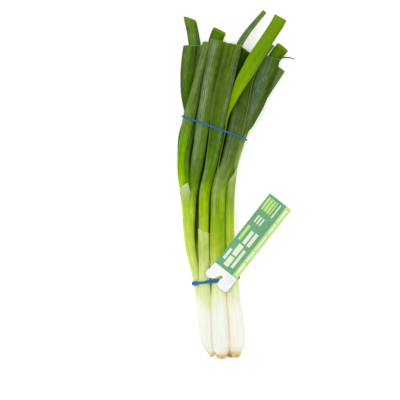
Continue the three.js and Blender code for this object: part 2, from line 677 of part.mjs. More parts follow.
/** The trimmed root plate under a bulb, with short cut roots. */
function rootPlate(bulb, seed) {
  const bottom = stationAt(bulb, 0);
  const radius = bottom.row[3];
  const place = (s) => ({ ...bottom, centre: bottom.centre.clone().addScaledVector(bottom.along, s) });
  const plate = solid(skin([
    ovalRing(place(-GAP), radius, radius),
    ovalRing(place(-GAP - ROOT_PLATE_DEPTH * 0.5), radius * 1.02, radius * 1.02),
    ovalRing(place(-GAP - ROOT_PLATE_DEPTH), radius * 0.72, radius * 0.72),
  ]));
  const random = seededRandom(seed);
  let whole = plate;
  for (let i = 0; i < ROOT_STUB_COUNT; i += 1) {
    const angle = (2 * Math.PI * (i + 0.5 * random())) / ROOT_STUB_COUNT;
    const reach = radius * (i % 2 ? 0.62 : 0.34);
    const length = ROOT_STUB_LENGTH * (0.7 + 0.6 * random());
    const stub = new THREE.CylinderGeometry(ROOT_STUB_RADIUS * 0.8, ROOT_STUB_RADIUS, length, 6);
    const turn = new THREE.Quaternion().setFromUnitVectors(
      new THREE.Vector3(0, 1, 0),
      bottom.along.clone().negate(),
    );
    const at = bottom.centre.clone()
      .addScaledVector(bottom.along, -GAP - ROOT_PLATE_DEPTH * 0.6 - length / 2)
      .addScaledVector(bottom.across, reach * Math.cos(angle))
      .addScaledVector(bottom.out, reach * Math.sin(angle));
    stub.applyQuaternion(turn);
    stub.translate(at.x, at.y, at.z);
    whole = whole.add(solid(stub));
  }
  return whole;
}

/** Repeatable random numbers from 0 to 1. */
function seededRandom(seed) {
  let state = seed * 7919 + 17;
  return () => {
    state = (state * 48271) % 2147483647;
    return state / 2147483647;
  };
}

// ---- bands and tag -----------------------------------------------------------------------

/** The upright plane of a band: it passes through left and runs to the right at a slope. */
function bandPlane({ left, slope }) {
  const right = new THREE.Vector3(1, slope, 0).normalize();
  const normal = new THREE.Vector3(0, 0, 1).cross(right).normalize();
  return { origin: new THREE.Vector3(left[0], left[1], 0), right, normal };
}

/** Where the edges of the solids cross a band's plane, as [right, up] in that plane. */
function crossings(plane, solids) {
  const found = [];
  for (const body of solids) {
    const { vertProperties, triVerts, numProp } = body.getMesh();
    const corner = (k) => new THREE.Vector3(...vertProperties.slice(k * numProp, k * numProp + 3));
    for (let i = 0; i < triVerts.length; i += 1) {
      const next = i % 3 === 2 ? i - 2 : i + 1;
      const a = corner(triVerts[i]);
      const b = corner(triVerts[next]);
      const da = a.clone().sub(plane.origin).dot(plane.normal);
      const db = b.clone().sub(plane.origin).dot(plane.normal);
      if (da < 0 === db < 0) continue;
      const p = a.lerp(b, da / (da - db));
      found.push([p.clone().sub(plane.origin).dot(plane.right), p.z]);
    }
  }
  return found;
}

/** The tight loop round some points of a plane, turning left all the way. */
function hull(points) {
  const sorted = [...points].sort((p, q) => p[0] - q[0] || p[1] - q[1]);
  const turn = (o, a, b) => (a[0] - o[0]) * (b[1] - o[1]) - (a[1] - o[1]) * (b[0] - o[0]);
  const half = (list) => {
    const chain = [];
    for (const p of list) {
      while (chain.length > 1 && turn(chain.at(-2), chain.at(-1), p) <= 0) chain.pop();
      chain.push(p);
    }
    return chain.slice(0, -1);
  };
  return [...half(sorted), ...half(sorted.reverse())];
}

/** Evenly spaced points on a loop drawn a distance outside a hull, with the way out at each. */
function loopOutside(corners, distance, count) {
  const path = new THREE.CurvePath();
  const outward = (a, b) => {
    const length = Math.hypot(b[0] - a[0], b[1] - a[1]);
    return new THREE.Vector2((b[1] - a[1]) / length, (a[0] - b[0]) / length);
  };
  corners.forEach((b, i) => {
    const a = corners.at(i - 1);
    const c = corners[(i + 1) % corners.length];
    const n1 = outward(a, b);
    const n2 = outward(b, c);
    const start = new THREE.Vector2(...b).addScaledVector(n1, distance);
    const end = new THREE.Vector2(...b).addScaledVector(n2, distance);
    const arc = new THREE.ArcCurve(b[0], b[1], distance, n1.angle(), n2.angle(), false);
    if (start.distanceTo(end) > 1e-3) path.add(arc);
    path.add(new THREE.LineCurve(end, new THREE.Vector2(...c).addScaledVector(n2, distance)));
  });
  return Array.from({ length: count }, (_, i) => {
    const at = path.getPointAt(i / count);
    const tangent = path.getTangentAt(i / count);
    return { at, out: new THREE.Vector2(tangent.y, -tangent.x) };
  });
}

/** One strand of a rubber band, stretched round whatever it crosses. */
function bandStrand(route, solids) {
  const plane = bandPlane(route);
  const loop = loopOutside(hull(crossings(plane, solids)), BAND_RADIUS + BAND_CLEARANCE, BAND_STEPS);
  const rings = loop.map(({ at, out }) => {
    const centre = plane.origin.clone().addScaledVector(plane.right, at.x).setZ(at.y);
    const outward = plane.right.clone().multiplyScalar(out.x).setZ(out.y);
    return Array.from({ length: BAND_SIDES }, (_, k) => {
      const angle = (2 * Math.PI * k) / BAND_SIDES;
      return centre.clone()
        .addScaledVector(outward, BAND_RADIUS * Math.cos(angle))
        .addScaledVector(plane.normal, BAND_RADIUS * Math.sin(angle));
    });
  });
  return solid(hoop(rings));
}

/** The card tag, flat, with its lower left corner at the origin and its length along +Y. */
function tagCard() {
  const [w, l] = [TAG_WIDTH, TAG_LENGTH];
  const outline = new THREE.Shape([
    [3.4, 0], [7.4, 1.0], [11.3, 6.0], [11.9, 8.0],
    [12.4, 10.2], [14.2, 10.2], [14.6, 8.0], [13.6, 3.0],
    [15.2, 0.2], [24.8, 0], [w, 1.6], [w, l], [0, l], [0, 3.2],
  ].map(([x, y]) => new THREE.Vector2(x, y)));
  return new THREE.ExtrudeGeometry(outline, { depth: TAG_THICKNESS, bevelEnabled: false });
}

// ---- assembly ----------------------------------------------------------------------------

/** A named mesh of a solid. */
function meshOf(name, body, material) {
  const { vertProperties, triVerts } = body.getMesh();
  const geometry = new THREE.BufferGeometry();
  geometry.setAttribute('position', new THREE.BufferAttribute(vertProperties, 3));
  geometry.setIndex(new THREE.BufferAttribute(triVerts, 1));
  geometry.computeVertexNormals();
  const mesh = new THREE.Mesh(geometry, material);
  mesh.name = name;
  return mesh;
}

/** The table under the bunch, which presses small flat spots on what lies on it. */
function tableSolid() {
  const [width, length, depth] = TABLE;
  return solid(new THREE.BoxGeometry(width, length, depth).translate(0, 0, -depth / 2));
}

/** Each onion's solids, cut clear of the table and of the ones that lie over it. */
function growOnions() {
  const grown = {};
  const room = [tableSolid()];
  for (const key of YIELD_ORDER) {
    const onion = ONIONS[key];
    const yields = (body) => room.reduce((rest, taken) => rest.subtract(taken), body);
    grown[key] = {
      top: yields(greenTop(onion)),
      bulb: yields(stemSolid(onion.bulb)),
      roots: rootPlate(onion.bulb, key.charCodeAt(0)),
    };
    room.push(greenTop(onion, GAP), stemSolid(onion.bulb, undefined, GAP));
  }
  return grown;
}

const bunch = new THREE.Group();
bunch.name = 'spring_onion_bunch';

const onions = growOnions();
for (const key of Object.keys(ONIONS)) {
  const { top, bulb, roots } = onions[key];
  bunch.add(meshOf(`onion_${key}_leaves`, top, FINISH.leaf));
  bunch.add(meshOf(`onion_${key}_bulb`, bulb, FINISH.bulb));
  bunch.add(meshOf(`onion_${key}_roots`, roots, FINISH.root));
}

const tops = Object.values(onions).map((onion) => onion.top);
const strands = LOWER_BAND_STRANDS.map((route) => bandStrand(route, tops));
const lowerBand = strands.reduce((whole, strand) => whole.add(strand));
bunch.add(meshOf('upper_band', bandStrand(UPPER_BAND, tops), FINISH.rubber));
bunch.add(meshOf('lower_band', lowerBand, FINISH.rubber));

const tag = new THREE.Mesh(tagCard(), FINISH.card);
tag.name = 'tag';
const tagPlace = new THREE.Group();
tagPlace.position.set(TAG_TIP[0], TAG_TIP[1], TAG_HEIGHT);
tagPlace.rotation.order = 'ZXY';
tagPlace.rotation.z = THREE.MathUtils.degToRad(TAG_HEADING - 90);
tagPlace.rotation.x = THREE.MathUtils.degToRad(-TAG_DROOP);
tagPlace.add(tag);
bunch.add(tagPlace);

export default bunch;
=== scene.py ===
"""The looks of a bunch of six spring onions that lies down, tied by two rubber bands, with a card tag.

The tables are in millimetres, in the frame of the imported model: +Y runs from the roots to the leaf
tips, +Z is up and the lowest points lie on z = 0. Meshes are made in metres.
"""

import logging
import math
from dataclasses import dataclass, field, replace
from enum import Enum
from functools import cached_property, partial
from typing import Any

import bmesh
import bpy
import numpy as np
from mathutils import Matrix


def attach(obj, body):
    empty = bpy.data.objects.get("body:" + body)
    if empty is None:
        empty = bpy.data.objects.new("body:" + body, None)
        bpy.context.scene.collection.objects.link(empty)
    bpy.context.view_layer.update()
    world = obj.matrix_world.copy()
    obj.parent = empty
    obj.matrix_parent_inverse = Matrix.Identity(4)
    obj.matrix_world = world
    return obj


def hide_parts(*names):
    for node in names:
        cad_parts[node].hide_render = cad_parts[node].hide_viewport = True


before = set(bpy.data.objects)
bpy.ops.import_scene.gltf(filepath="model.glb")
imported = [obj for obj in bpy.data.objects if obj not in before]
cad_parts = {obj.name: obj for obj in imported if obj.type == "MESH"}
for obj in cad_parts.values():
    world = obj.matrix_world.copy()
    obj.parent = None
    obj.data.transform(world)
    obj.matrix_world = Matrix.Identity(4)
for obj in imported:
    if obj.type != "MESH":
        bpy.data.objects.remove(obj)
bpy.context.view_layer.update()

LOG = logging.getLogger("spring_onions")

MM = 0.001                # one unit of the tables, in metres
FLOOR_CLEARANCE = 0.01    # the least height of any point, in mm
LOWEST_RISE = -170.0      # the height along Y, in mm, where a colour ramp starts
RISE_SPAN = 340.0         # the length of every colour ramp, in mm
UNDERSIDE = -math.pi / 2  # the angle at which the rings of a leaf or stem start
STROKE_FADE = 14.0        # how softly a stroke of colour starts and ends, in mm
CUT_FADE = 14.0           # the length over which a leaf's oblique cut fades out, in mm
SKIN_MAP = "Lay"          # the name of the map in mm round and along a skin

Array = np.ndarray
Colour = tuple[float, float, float]
Rows = tuple[tuple[float, ...], ...]
Stop = tuple[float, Colour]
Socket = bpy.types.NodeSocket
Piece = bpy.types.Object


# ---- colours ----


def tone(red: int, green: int, blue: int) -> Colour:
    """A colour as the eye names it, made linear for the shader.

    Args:
        red: Red from 0 to 255.
        green: Green from 0 to 255.
        blue: Blue from 0 to 255.

    Returns:
        The linear colour, each part from 0 to 1.
    """
    def linear(value: float) -> float:
        """One part of the colour, made linear."""
        part = value / 255.0
        return part / 12.92 if part <= 0.04045 else ((part + 0.055) / 1.055) ** 2.4

    return linear(red), linear(green), linear(blue)


def shades(*stops: tuple[float, int, int, int]) -> tuple[Stop, ...]:
    """Colours along a leaf or stem, each given as its height in mm, red, green and blue."""
    return tuple((height, tone(*colour)) for height, *colour in stops)


BULB_WHITE = (243, 244, 234)
ROOT_END_TAN = (232, 216, 170)
WAX_BLOOM = tone(150, 166, 138)
# Pale paper of a collar's dry rim; along thin leaf edges the same colour is a painted highlight.
PAPER_AND_EDGE_HIGHLIGHT = tone(206, 217, 162)
CUT_RIM = tone(168, 196, 92)
INNER_WALL = tone(112, 156, 22)
# Painted light: the yellowish white of light shining through the bulbs into the creases between them.
STRAW = tone(243, 229, 170)


# ---- curves and sections ----


def smooth_step(low: float, high: float, value: Array) -> Array:
    """A soft switch of a value, from 0 where it is low to 1 where it is high."""
    t = np.clip((value - low) / (high - low), 0.0, 1.0)
    return t * t * (3.0 - 2.0 * t)


def hump(value: Array, middle: float | Array, width: float | Array) -> Array:
    """A bell that is 1 at the middle and falls to a third at width from it."""
    return np.exp(-(((value - middle) / width) ** 2))


def end_fade(depths: Array, run: float) -> Array:
    """How much of an oblique end shows: all of it at depth 0 and none past run."""
    return np.clip(1.0 - depths / run, 0.0, 1.0) ** 1.5


def boxy(value: Array, power: float | Array) -> Array:
    """Sines or cosines raised to a power with their signs kept, which squares a round section."""
    return np.sign(value) * np.abs(value) ** power


def circle(sides: int, start: float = 0.0) -> Array:
    """Evenly spaced angles once round."""
    return start + 2 * math.pi * np.arange(sides) / sides


def ripples(angle: Array, run: Array, seed: int, waves: Rows) -> Array:
    """Waves of a section, each given by its size, its count round, its length in mm and its seeding."""
    return sum(size * np.sin(turns * angle + run / long + share * seed) for size, turns, long, share in waves)


def unit(vectors: Array) -> Array:
    """Rows of vectors, each made one long."""
    return vectors / np.linalg.norm(vectors, axis=1)[:, None]


def run_length(places: Array) -> Array:
    """The distance along a line of places, from 0 at its first one."""
    return np.concatenate([[0.0], np.cumsum(np.linalg.norm(np.diff(places, axis=0), axis=1))])


def rows_at(rows: Array, t: Array) -> Array:
    """Smooth values between the rows of a table.

    Args:
        rows: One row for each given point.
        t: Positions counted in rows.

    Returns:
        One row of values for each position.
    """
    last = len(rows) - 1
    k = np.clip(np.floor(t).astype(int), 0, last - 1)
    f = (t - k)[:, None]
    p0, p1 = rows[np.clip(k - 1, 0, last)], rows[k]
    p2, p3 = rows[k + 1], rows[np.clip(k + 2, 0, last)]
    c = 2 * p0 - 5 * p1 + 4 * p2 - p3
    d = 3 * p1 - p0 - 3 * p2 + p3
    return 0.5 * (2 * p1 + (p2 - p0) * f + c * f * f + d * f ** 3)


def wander(seed: int, lengths: Array, step: float) -> Array:
    """A smooth curve, read at some lengths, that strays between about -1 and 1 and turns every step."""
    knots = np.random.default_rng(seed).uniform(-1.0, 1.0, int(lengths.max() / step) + 4)
    return rows_at(knots[:, None], lengths / step)[:, 0]


def off_floor(points: Array) -> Array:
    """Points in mm with none below the floor, so that what lies on it has a flat spot."""
    return np.concatenate([points[..., :2], np.maximum(points[..., 2:], FLOOR_CLEARANCE)], axis=-1)


@dataclass
class Stations:
    """Places along a spine, each with its three directions and its table row."""

    centre: Array
    along: Array
    across: Array
    out: Array
    row: Array
    length: Array


class Spine:
    """A smooth line through the given rows of a leaf or stem."""

    MEASURES = 40    # how many times the line is measured between two rows
    LOOK = 0.05      # how far before and after a place its direction is taken, in rows

    def __init__(self, rows: Rows) -> None:
        """Measures the line.

        Args:
            rows: x, y, z and two sizes of each point, and a roll in degrees if there is one.
        """
        self.rows = np.array(rows, float)
        self.last = len(rows) - 1
        self.fine = np.linspace(0.0, self.last, self.last * self.MEASURES + 1)
        self.measured = run_length(rows_at(self.rows, self.fine)[:, :3])
        self.length = float(self.measured[-1])

    def stations(self, lengths: Array) -> Stations:
        """The places at some distances from the start of the line.

        Args:
            lengths: Distances along the line, in mm.

        Returns:
            The places there.
        """
        t = np.interp(lengths, self.measured, self.fine)
        row = rows_at(self.rows, t)
        before = rows_at(self.rows, np.maximum(0.0, t - self.LOOK))[:, :3]
        after = rows_at(self.rows, np.minimum(self.last, t + self.LOOK))[:, :3]
        along = unit(after - before)
        flat = unit(np.cross(along, (0.0, 0.0, 1.0)))
        roll = np.radians(row[:, 5:6]) if row.shape[1] > 5 else np.zeros((len(row), 1))
        across = flat * np.cos(roll) - np.cross(along, flat) * np.sin(roll)
        return Stations(row[:, :3], along, across, np.cross(across, along), row, lengths)


@dataclass(frozen=True)
class Ridge:
    """A raised line, or a sunk one of negative height, that runs the length of a leaf's upper side.

    side is where it lies across, from -1 at the left edge to 1 at the right edge.
    """

    side: float
    width: float
    height: float

    def lift(self, x: Array, upright: Array) -> Array:
        """The lift of points at x across, in half thicknesses; upright is 1 at the top and -1 below."""
        return self.height * hump(x, self.side, self.width) * np.sqrt(np.clip(upright, 0.0, 1.0))


class Tint(Enum):
    """What a soft stroke of colour on a leaf or stem stands for: wax bloom, painted shade, pale paper at a
    collar's rim and painted highlights in thin lines along some leaf edges, and painted light in the creases
    between bulbs.
    """

    BLOOM = "bloom"
    DUSK = "dusk"
    PALE = "pale"
    STRAW = "straw"


@dataclass(frozen=True)
class Stroke:
    """A soft lengthwise band of one tint.

    It lies at start_side at height low and at end_side at height high.
    """

    tint: Tint
    start_side: float
    end_side: float
    width: float
    low: float
    high: float
    strength: float

    def weight(self, x: Array, y: Array) -> Array:
        """How strongly the stroke shows.

        Args:
            x: Places across, from -1 to 1.
            y: Heights, in mm.

        Returns:
            Weights, in the shape of x.
        """
        share = np.clip((y - self.low) / (self.high - self.low), 0.0, 1.0)
        side = self.start_side + (self.end_side - self.start_side) * share
        rise = smooth_step(self.low - STROKE_FADE, self.low + STROKE_FADE, y)
        fall = 1.0 - smooth_step(self.high - STROKE_FADE, self.high + STROKE_FADE, y)
        return self.strength * hump(x, side, self.width) * rise * fall


class Neighbour:
    """A stem that others are pressed against, known by its middle line and its two radii."""

    STICK = 0.3    # how far a pressed stem still reaches into its neighbour, in mm
    NEAR = 1.12    # stems touch when their middles are closer than this many times their radii
    PLACES = 240   # how many places along it are looked at

    def __init__(self, rows: Rows) -> None:
        """Measures the stem from its table."""
        spine = Spine(rows)
        self.at = spine.stations(np.linspace(0.0, spine.length, self.PLACES))

    def press(self, points: Array, at: Stations) -> Array:
        """Flattens rings of another stem where the two touch.

        Args:
            points: The other stem's rings, in mm.
            at: The other stem's stations.

        Returns:
            The rings, cut back to the plane midway between the stems.
        """
        height, own = at.centre[:, 1], self.at.row
        inside = (height > own[0, 1]) & (height < own[-1, 1])
        x, z, wide, high = (np.interp(height, own[:, 1], own[:, k]) for k in (0, 2, 3, 4))
        away = np.stack([x - at.centre[:, 0], np.zeros(len(height)), z - at.centre[:, 2]], axis=1)
        span = np.linalg.norm(away, axis=1)
        away = away / span[:, None]
        mine = np.hypot(at.row[:, 3] * away[:, 0], at.row[:, 4] * away[:, 2])
        both = mine + np.hypot(wide * away[:, 0], high * away[:, 2])
        limit = np.where(inside & (span < self.NEAR * both), span * mine / both + self.STICK, np.inf)
        past = np.einsum("nmk,nk->nm", points - at.centre[:, None], away) - limit[:, None]
        return points - np.maximum(past, 0.0)[..., None] * away[:, None]


# ---- meshes ----


def smooth_piece(name: str, points: Array, faces: list[Any]) -> Piece:
    """Makes a smooth-shaded object and links it to the scene.

    Args:
        name: The piece's name.
        points: Its points, in mm.
        faces: The numbers of the points of each face.

    Returns:
        The new object.
    """
    mesh = bpy.data.meshes.new(name)
    mesh.from_pydata((points * MM).tolist(), [], faces)
    mesh.update()
    mesh.polygons.foreach_set("use_smooth", np.ones(len(mesh.polygons), bool))
    piece = bpy.data.objects.new(name, mesh)
    bpy.context.scene.collection.objects.link(piece)
    return piece


def add_mark(piece: Piece, name: str, values: Array) -> None:
    """Gives a piece's mesh one number for each point, which its material reads."""
    layer = piece.data.attributes.new(name, "FLOAT", "POINT")
    layer.data.foreach_set("value", values.astype(np.float32))


def seat(piece: Piece, slot: str, *nodes: str) -> Piece:
    """Puts a piece on the model's one body.

    Args:
        piece: The piece.
        slot: Not used.
        *nodes: The solids that it stands for.

    Returns:
        The same piece.
    """
    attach(piece, "root")
    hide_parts(*nodes)
    return piece


def tube(rings: Array) -> tuple[Array, list[list[int]]]:
    """Closes rings of points to a tube, with a point in the middle of each end.

    Args:
        rings: The rings, in mm.

    Returns:
        All points, with the two middles last, and the faces.
    """
    count, sides = rings.shape[:2]
    grid = np.arange(count * sides).reshape(count, sides)
    onward = np.roll(grid, -1, axis=1)
    quads = np.stack([grid[:-1], grid[1:], onward[1:], onward[:-1]], axis=-1).reshape(-1, 4)
    start = np.stack([np.full(sides, grid.size), grid[0], onward[0]], axis=-1)
    end = np.stack([np.full(sides, grid.size + 1), onward[-1], grid[-1]], axis=-1)
    points = np.concatenate([rings.reshape(-1, 3), [rings[0].mean(0), rings[-1].mean(0)]])
    return points, quads.tolist() + start.tolist() + end.tolist()


@dataclass
class Skin:
    """A closed surface of rings, with marks at each point that its material reads."""

    rings: Array
    along: Array
    marks: dict[str, Array]

    def to_object(self, name: str) -> Piece:
        """Makes the mesh, with its ends drawn together and a map in mm round and along it.

        Args:
            name: The piece's name.

        Returns:
            The new object, linked to the scene.
        """
        piece = smooth_piece(name, *tube(self.rings))
        around = self._girth()
        u = np.concatenate([around, around[:, -1:] + around[:, 1:2]], axis=1)
        v = np.repeat(self.along[:, None], u.shape[1], axis=1)
        plane = np.stack([u, v], axis=-1)
        corners = np.stack([plane[:-1, :-1], plane[1:, :-1], plane[1:, 1:], plane[:-1, 1:]], axis=2)
        ends = [self._fan_map(plane[0], False), self._fan_map(plane[-1], True)]
        layer = piece.data.uv_layers.new(name=SKIN_MAP)
        layer.data.foreach_set("uv", np.concatenate([corners.reshape(-1), *ends]))
        for mark, values in self.marks.items():
            add_mark(piece, mark, np.concatenate([values.reshape(-1), [values[0].mean(), values[-1].mean()]]))
        return piece

    def _girth(self) -> Array:
        """Distances round each ring from its first point on.

        Returns:
            One distance for each point, all measured round the widest ring so that lines run true.
        """
        sides = np.linalg.norm(self.rings - np.roll(self.rings, 1, axis=1), axis=2)
        sides[:, 0] = 0.0
        widest = int(np.argmax(sides.sum(1)))
        return np.repeat(np.cumsum(sides[widest])[None, :], len(self.rings), axis=0)

    @staticmethod
    def _fan_map(ring: Array, turned: bool) -> Array:
        """Map places for the triangles that close one end.

        Args:
            ring: The map places of the last ring.
            turned: Whether the triangles run the other way round.

        Returns:
            The places of all their corners, in one row.
        """
        middle = (ring[:-1] + ring[1:]) / 2
        order = [middle, ring[1:], ring[:-1]] if turned else [middle, ring[:-1], ring[1:]]
        return np.stack(order, axis=1).reshape(-1)


# ---- materials ----


class NodeBench:
    """Lays out and wires the nodes of one material."""

    def __init__(self, name: str) -> None:
        """Starts an empty material.

        Args:
            name: The material's name.
        """
        self.material = bpy.data.materials.new(name)
        self.material.use_nodes = True
        self.tree = self.material.node_tree
        self.tree.nodes.clear()

    def add(self, kind: str, **settings: Any) -> bpy.types.Node:
        """Adds a node.

        Args:
            kind: What kind of node it is.
            **settings: What it is set to.

        Returns:
            The node.
        """
        node = self.tree.nodes.new(kind)
        for key, value in settings.items():
            setattr(node, key, value)
        return node

    def feed(self, socket: Socket, value: Any) -> None:
        """Wires a socket to another one, or sets it to a number or colour.

        Args:
            socket: The input that takes the value.
            value: A socket, a number, a vector or a colour.
        """
        if isinstance(value, Socket):
            self.tree.links.new(value, socket)
        elif socket.type == "RGBA":
            socket.default_value = (*value, 1.0)
        else:
            socket.default_value = value

    def feed_all(self, node: bpy.types.Node, **values: Any) -> None:
        """Feeds inputs of a node by their names, with _ for a space."""
        for title, value in values.items():
            self.feed(node.inputs[title.replace("_", " ")], value)

    def mark(self, name: str) -> Socket:
        """The value of a mark that the mesh carries."""
        return self.add("ShaderNodeAttribute", attribute_name=name).outputs["Fac"]

    def lay(self, around: float, along: float) -> Socket:
        """The place on the skin, stretched.

        Args:
            around: How many units a mm counts for round the skin.
            along: How many it counts for along the skin.

        Returns:
            The stretched place.
        """
        place = self.add("ShaderNodeUVMap", uv_map=SKIN_MAP).outputs["UV"]
        node = self.add("ShaderNodeVectorMath", operation="MULTIPLY")
        self.feed(node.inputs[0], place)
        self.feed(node.inputs[1], (around, along, 1.0))
        return node.outputs[0]

    def noise(self, place: Socket, scale: float, detail: float, rough: float = 0.5,
              warp: float = 0.0) -> Socket:
        """A cloudy value about 0.5.

        Args:
            place: Where it is read.
            scale: How fine it is.
            detail: How many finer layers it has.
            rough: How strong the finer layers are.
            warp: How far it is twisted.

        Returns:
            The value's socket.
        """
        node = self.add("ShaderNodeTexNoise")
        self.feed_all(node, Vector=place, Scale=scale, Detail=detail, Roughness=rough, Distortion=warp)
        return node.outputs[0]

    def clouds(self, scale: float, detail: float, rough: float = 0.5, warp: float = 0.0) -> Socket:
        """A cloudy value about 0.5 that is read at the place in the piece, in metres."""
        return self.noise(self.add("ShaderNodeTexCoord").outputs["Object"], scale, detail, rough, warp)

    def reckon(self, operation: str, first: Any, second: Any, clamp: bool = False) -> Socket:
        """One step of arithmetic.

        Args:
            operation: What is done.
            first: The first number.
            second: The second number.
            clamp: Whether the result stays between 0 and 1.

        Returns:
            The result's socket.
        """
        node = self.add("ShaderNodeMath", operation=operation, use_clamp=clamp)
        self.feed(node.inputs[0], first)
        self.feed(node.inputs[1], second)
        return node.outputs[0]

    def times(self, first: Any, second: Any) -> Socket:
        """The product of two values."""
        return self.reckon("MULTIPLY", first, second)

    def plus(self, first: Any, second: Any, clamp: bool = False) -> Socket:
        """The sum of two values."""
        return self.reckon("ADD", first, second, clamp)

    def less(self, first: Any, second: Any) -> Socket:
        """The first value without the second."""
        return self.reckon("SUBTRACT", first, second)

    def span(self, value: Socket, low: float, high: float, start: float = 0.0, end: float = 1.0) -> Socket:
        """Carries a value from one range over to another.

        Args:
            value: The value.
            low: Where the first range starts.
            high: Where the first range ends.
            start: Where the second range starts.
            end: Where the second range ends.

        Returns:
            The carried value, which stays in the second range.
        """
        node = self.add("ShaderNodeMapRange")
        for socket, number in zip(node.inputs[:5], (value, low, high, start, end)):
            self.feed(socket, number)
        return node.outputs[0]

    def mix(self, share: Any, first: Any, second: Any, blend: str = "MIX") -> Socket:
        """One colour laid over another.

        Args:
            share: How much of the second colour there is.
            first: The colour below.
            second: The colour above.
            blend: How they are put together.

        Returns:
            The colour's socket.
        """
        node = self.add("ShaderNodeMix", data_type="RGBA", blend_type=blend)
        self.feed(node.inputs[0], share)
        self.feed(node.inputs[6], first)
        self.feed(node.inputs[7], second)
        return node.outputs[2]

    def ramp(self, value: Socket, stops: list[Stop]) -> Socket:
        """Colours along a value from 0 to 1.

        Args:
            value: What picks the colour.
            stops: Places from 0 to 1 with their colours, in order.

        Returns:
            The colour's socket.
        """
        node = self.add("ShaderNodeValToRGB")
        self.feed(node.inputs[0], value)
        band = node.color_ramp
        band.interpolation = "LINEAR"
        while len(band.elements) > 1:
            band.elements.remove(band.elements[-1])
        band.elements[0].position = stops[0][0]
        band.elements[0].color = (*stops[0][1], 1.0)
        for place, colour in stops[1:]:
            band.elements.new(place).color = (*colour, 1.0)
        return node.outputs[0]

    def bump(self, height: Socket, depth: float, strength: float, over: Socket | None = None) -> Socket:
        """A relief too fine for the mesh.

        Args:
            height: The relief's height, from 0 to 1.
            depth: How deep it is, in metres.
            strength: How much of it shows.
            over: Another relief that it lies over.

        Returns:
            The normal's socket.
        """
        node = self.add("ShaderNodeBump")
        self.feed_all(node, Strength=strength, Distance=depth, Height=height)
        if over is not None:
            self.feed_all(node, Normal=over)
        return node.outputs[0]

    def finish(self, colour: Socket, roughness: Any, normal: Socket | None = None,
               **fixed: Any) -> bpy.types.Material:
        """Joins everything in one shader.

        Args:
            colour: The base colour.
            roughness: The roughness.
            normal: The relief, if there is one.
            **fixed: Numbers or colours for other sockets, with _ for a space in their names.

        Returns:
            The finished material.
        """
        shader = self.add("ShaderNodeBsdfPrincipled")
        self.feed_all(shader, Base_Color=colour, Roughness=roughness)
        if normal is not None:
            self.feed_all(shader, Normal=normal)
        self.feed_all(shader, **fixed)
        output = self.add("ShaderNodeOutputMaterial")
        self.tree.links.new(shader.outputs[0], output.inputs["Surface"])
        return self.material


@dataclass(frozen=True)
class Grain:
    """The noises that a plant skin is made of, each about 0.5."""

    fine: Socket
    broad: Socket
    cloud: Socket
    fleck: Socket


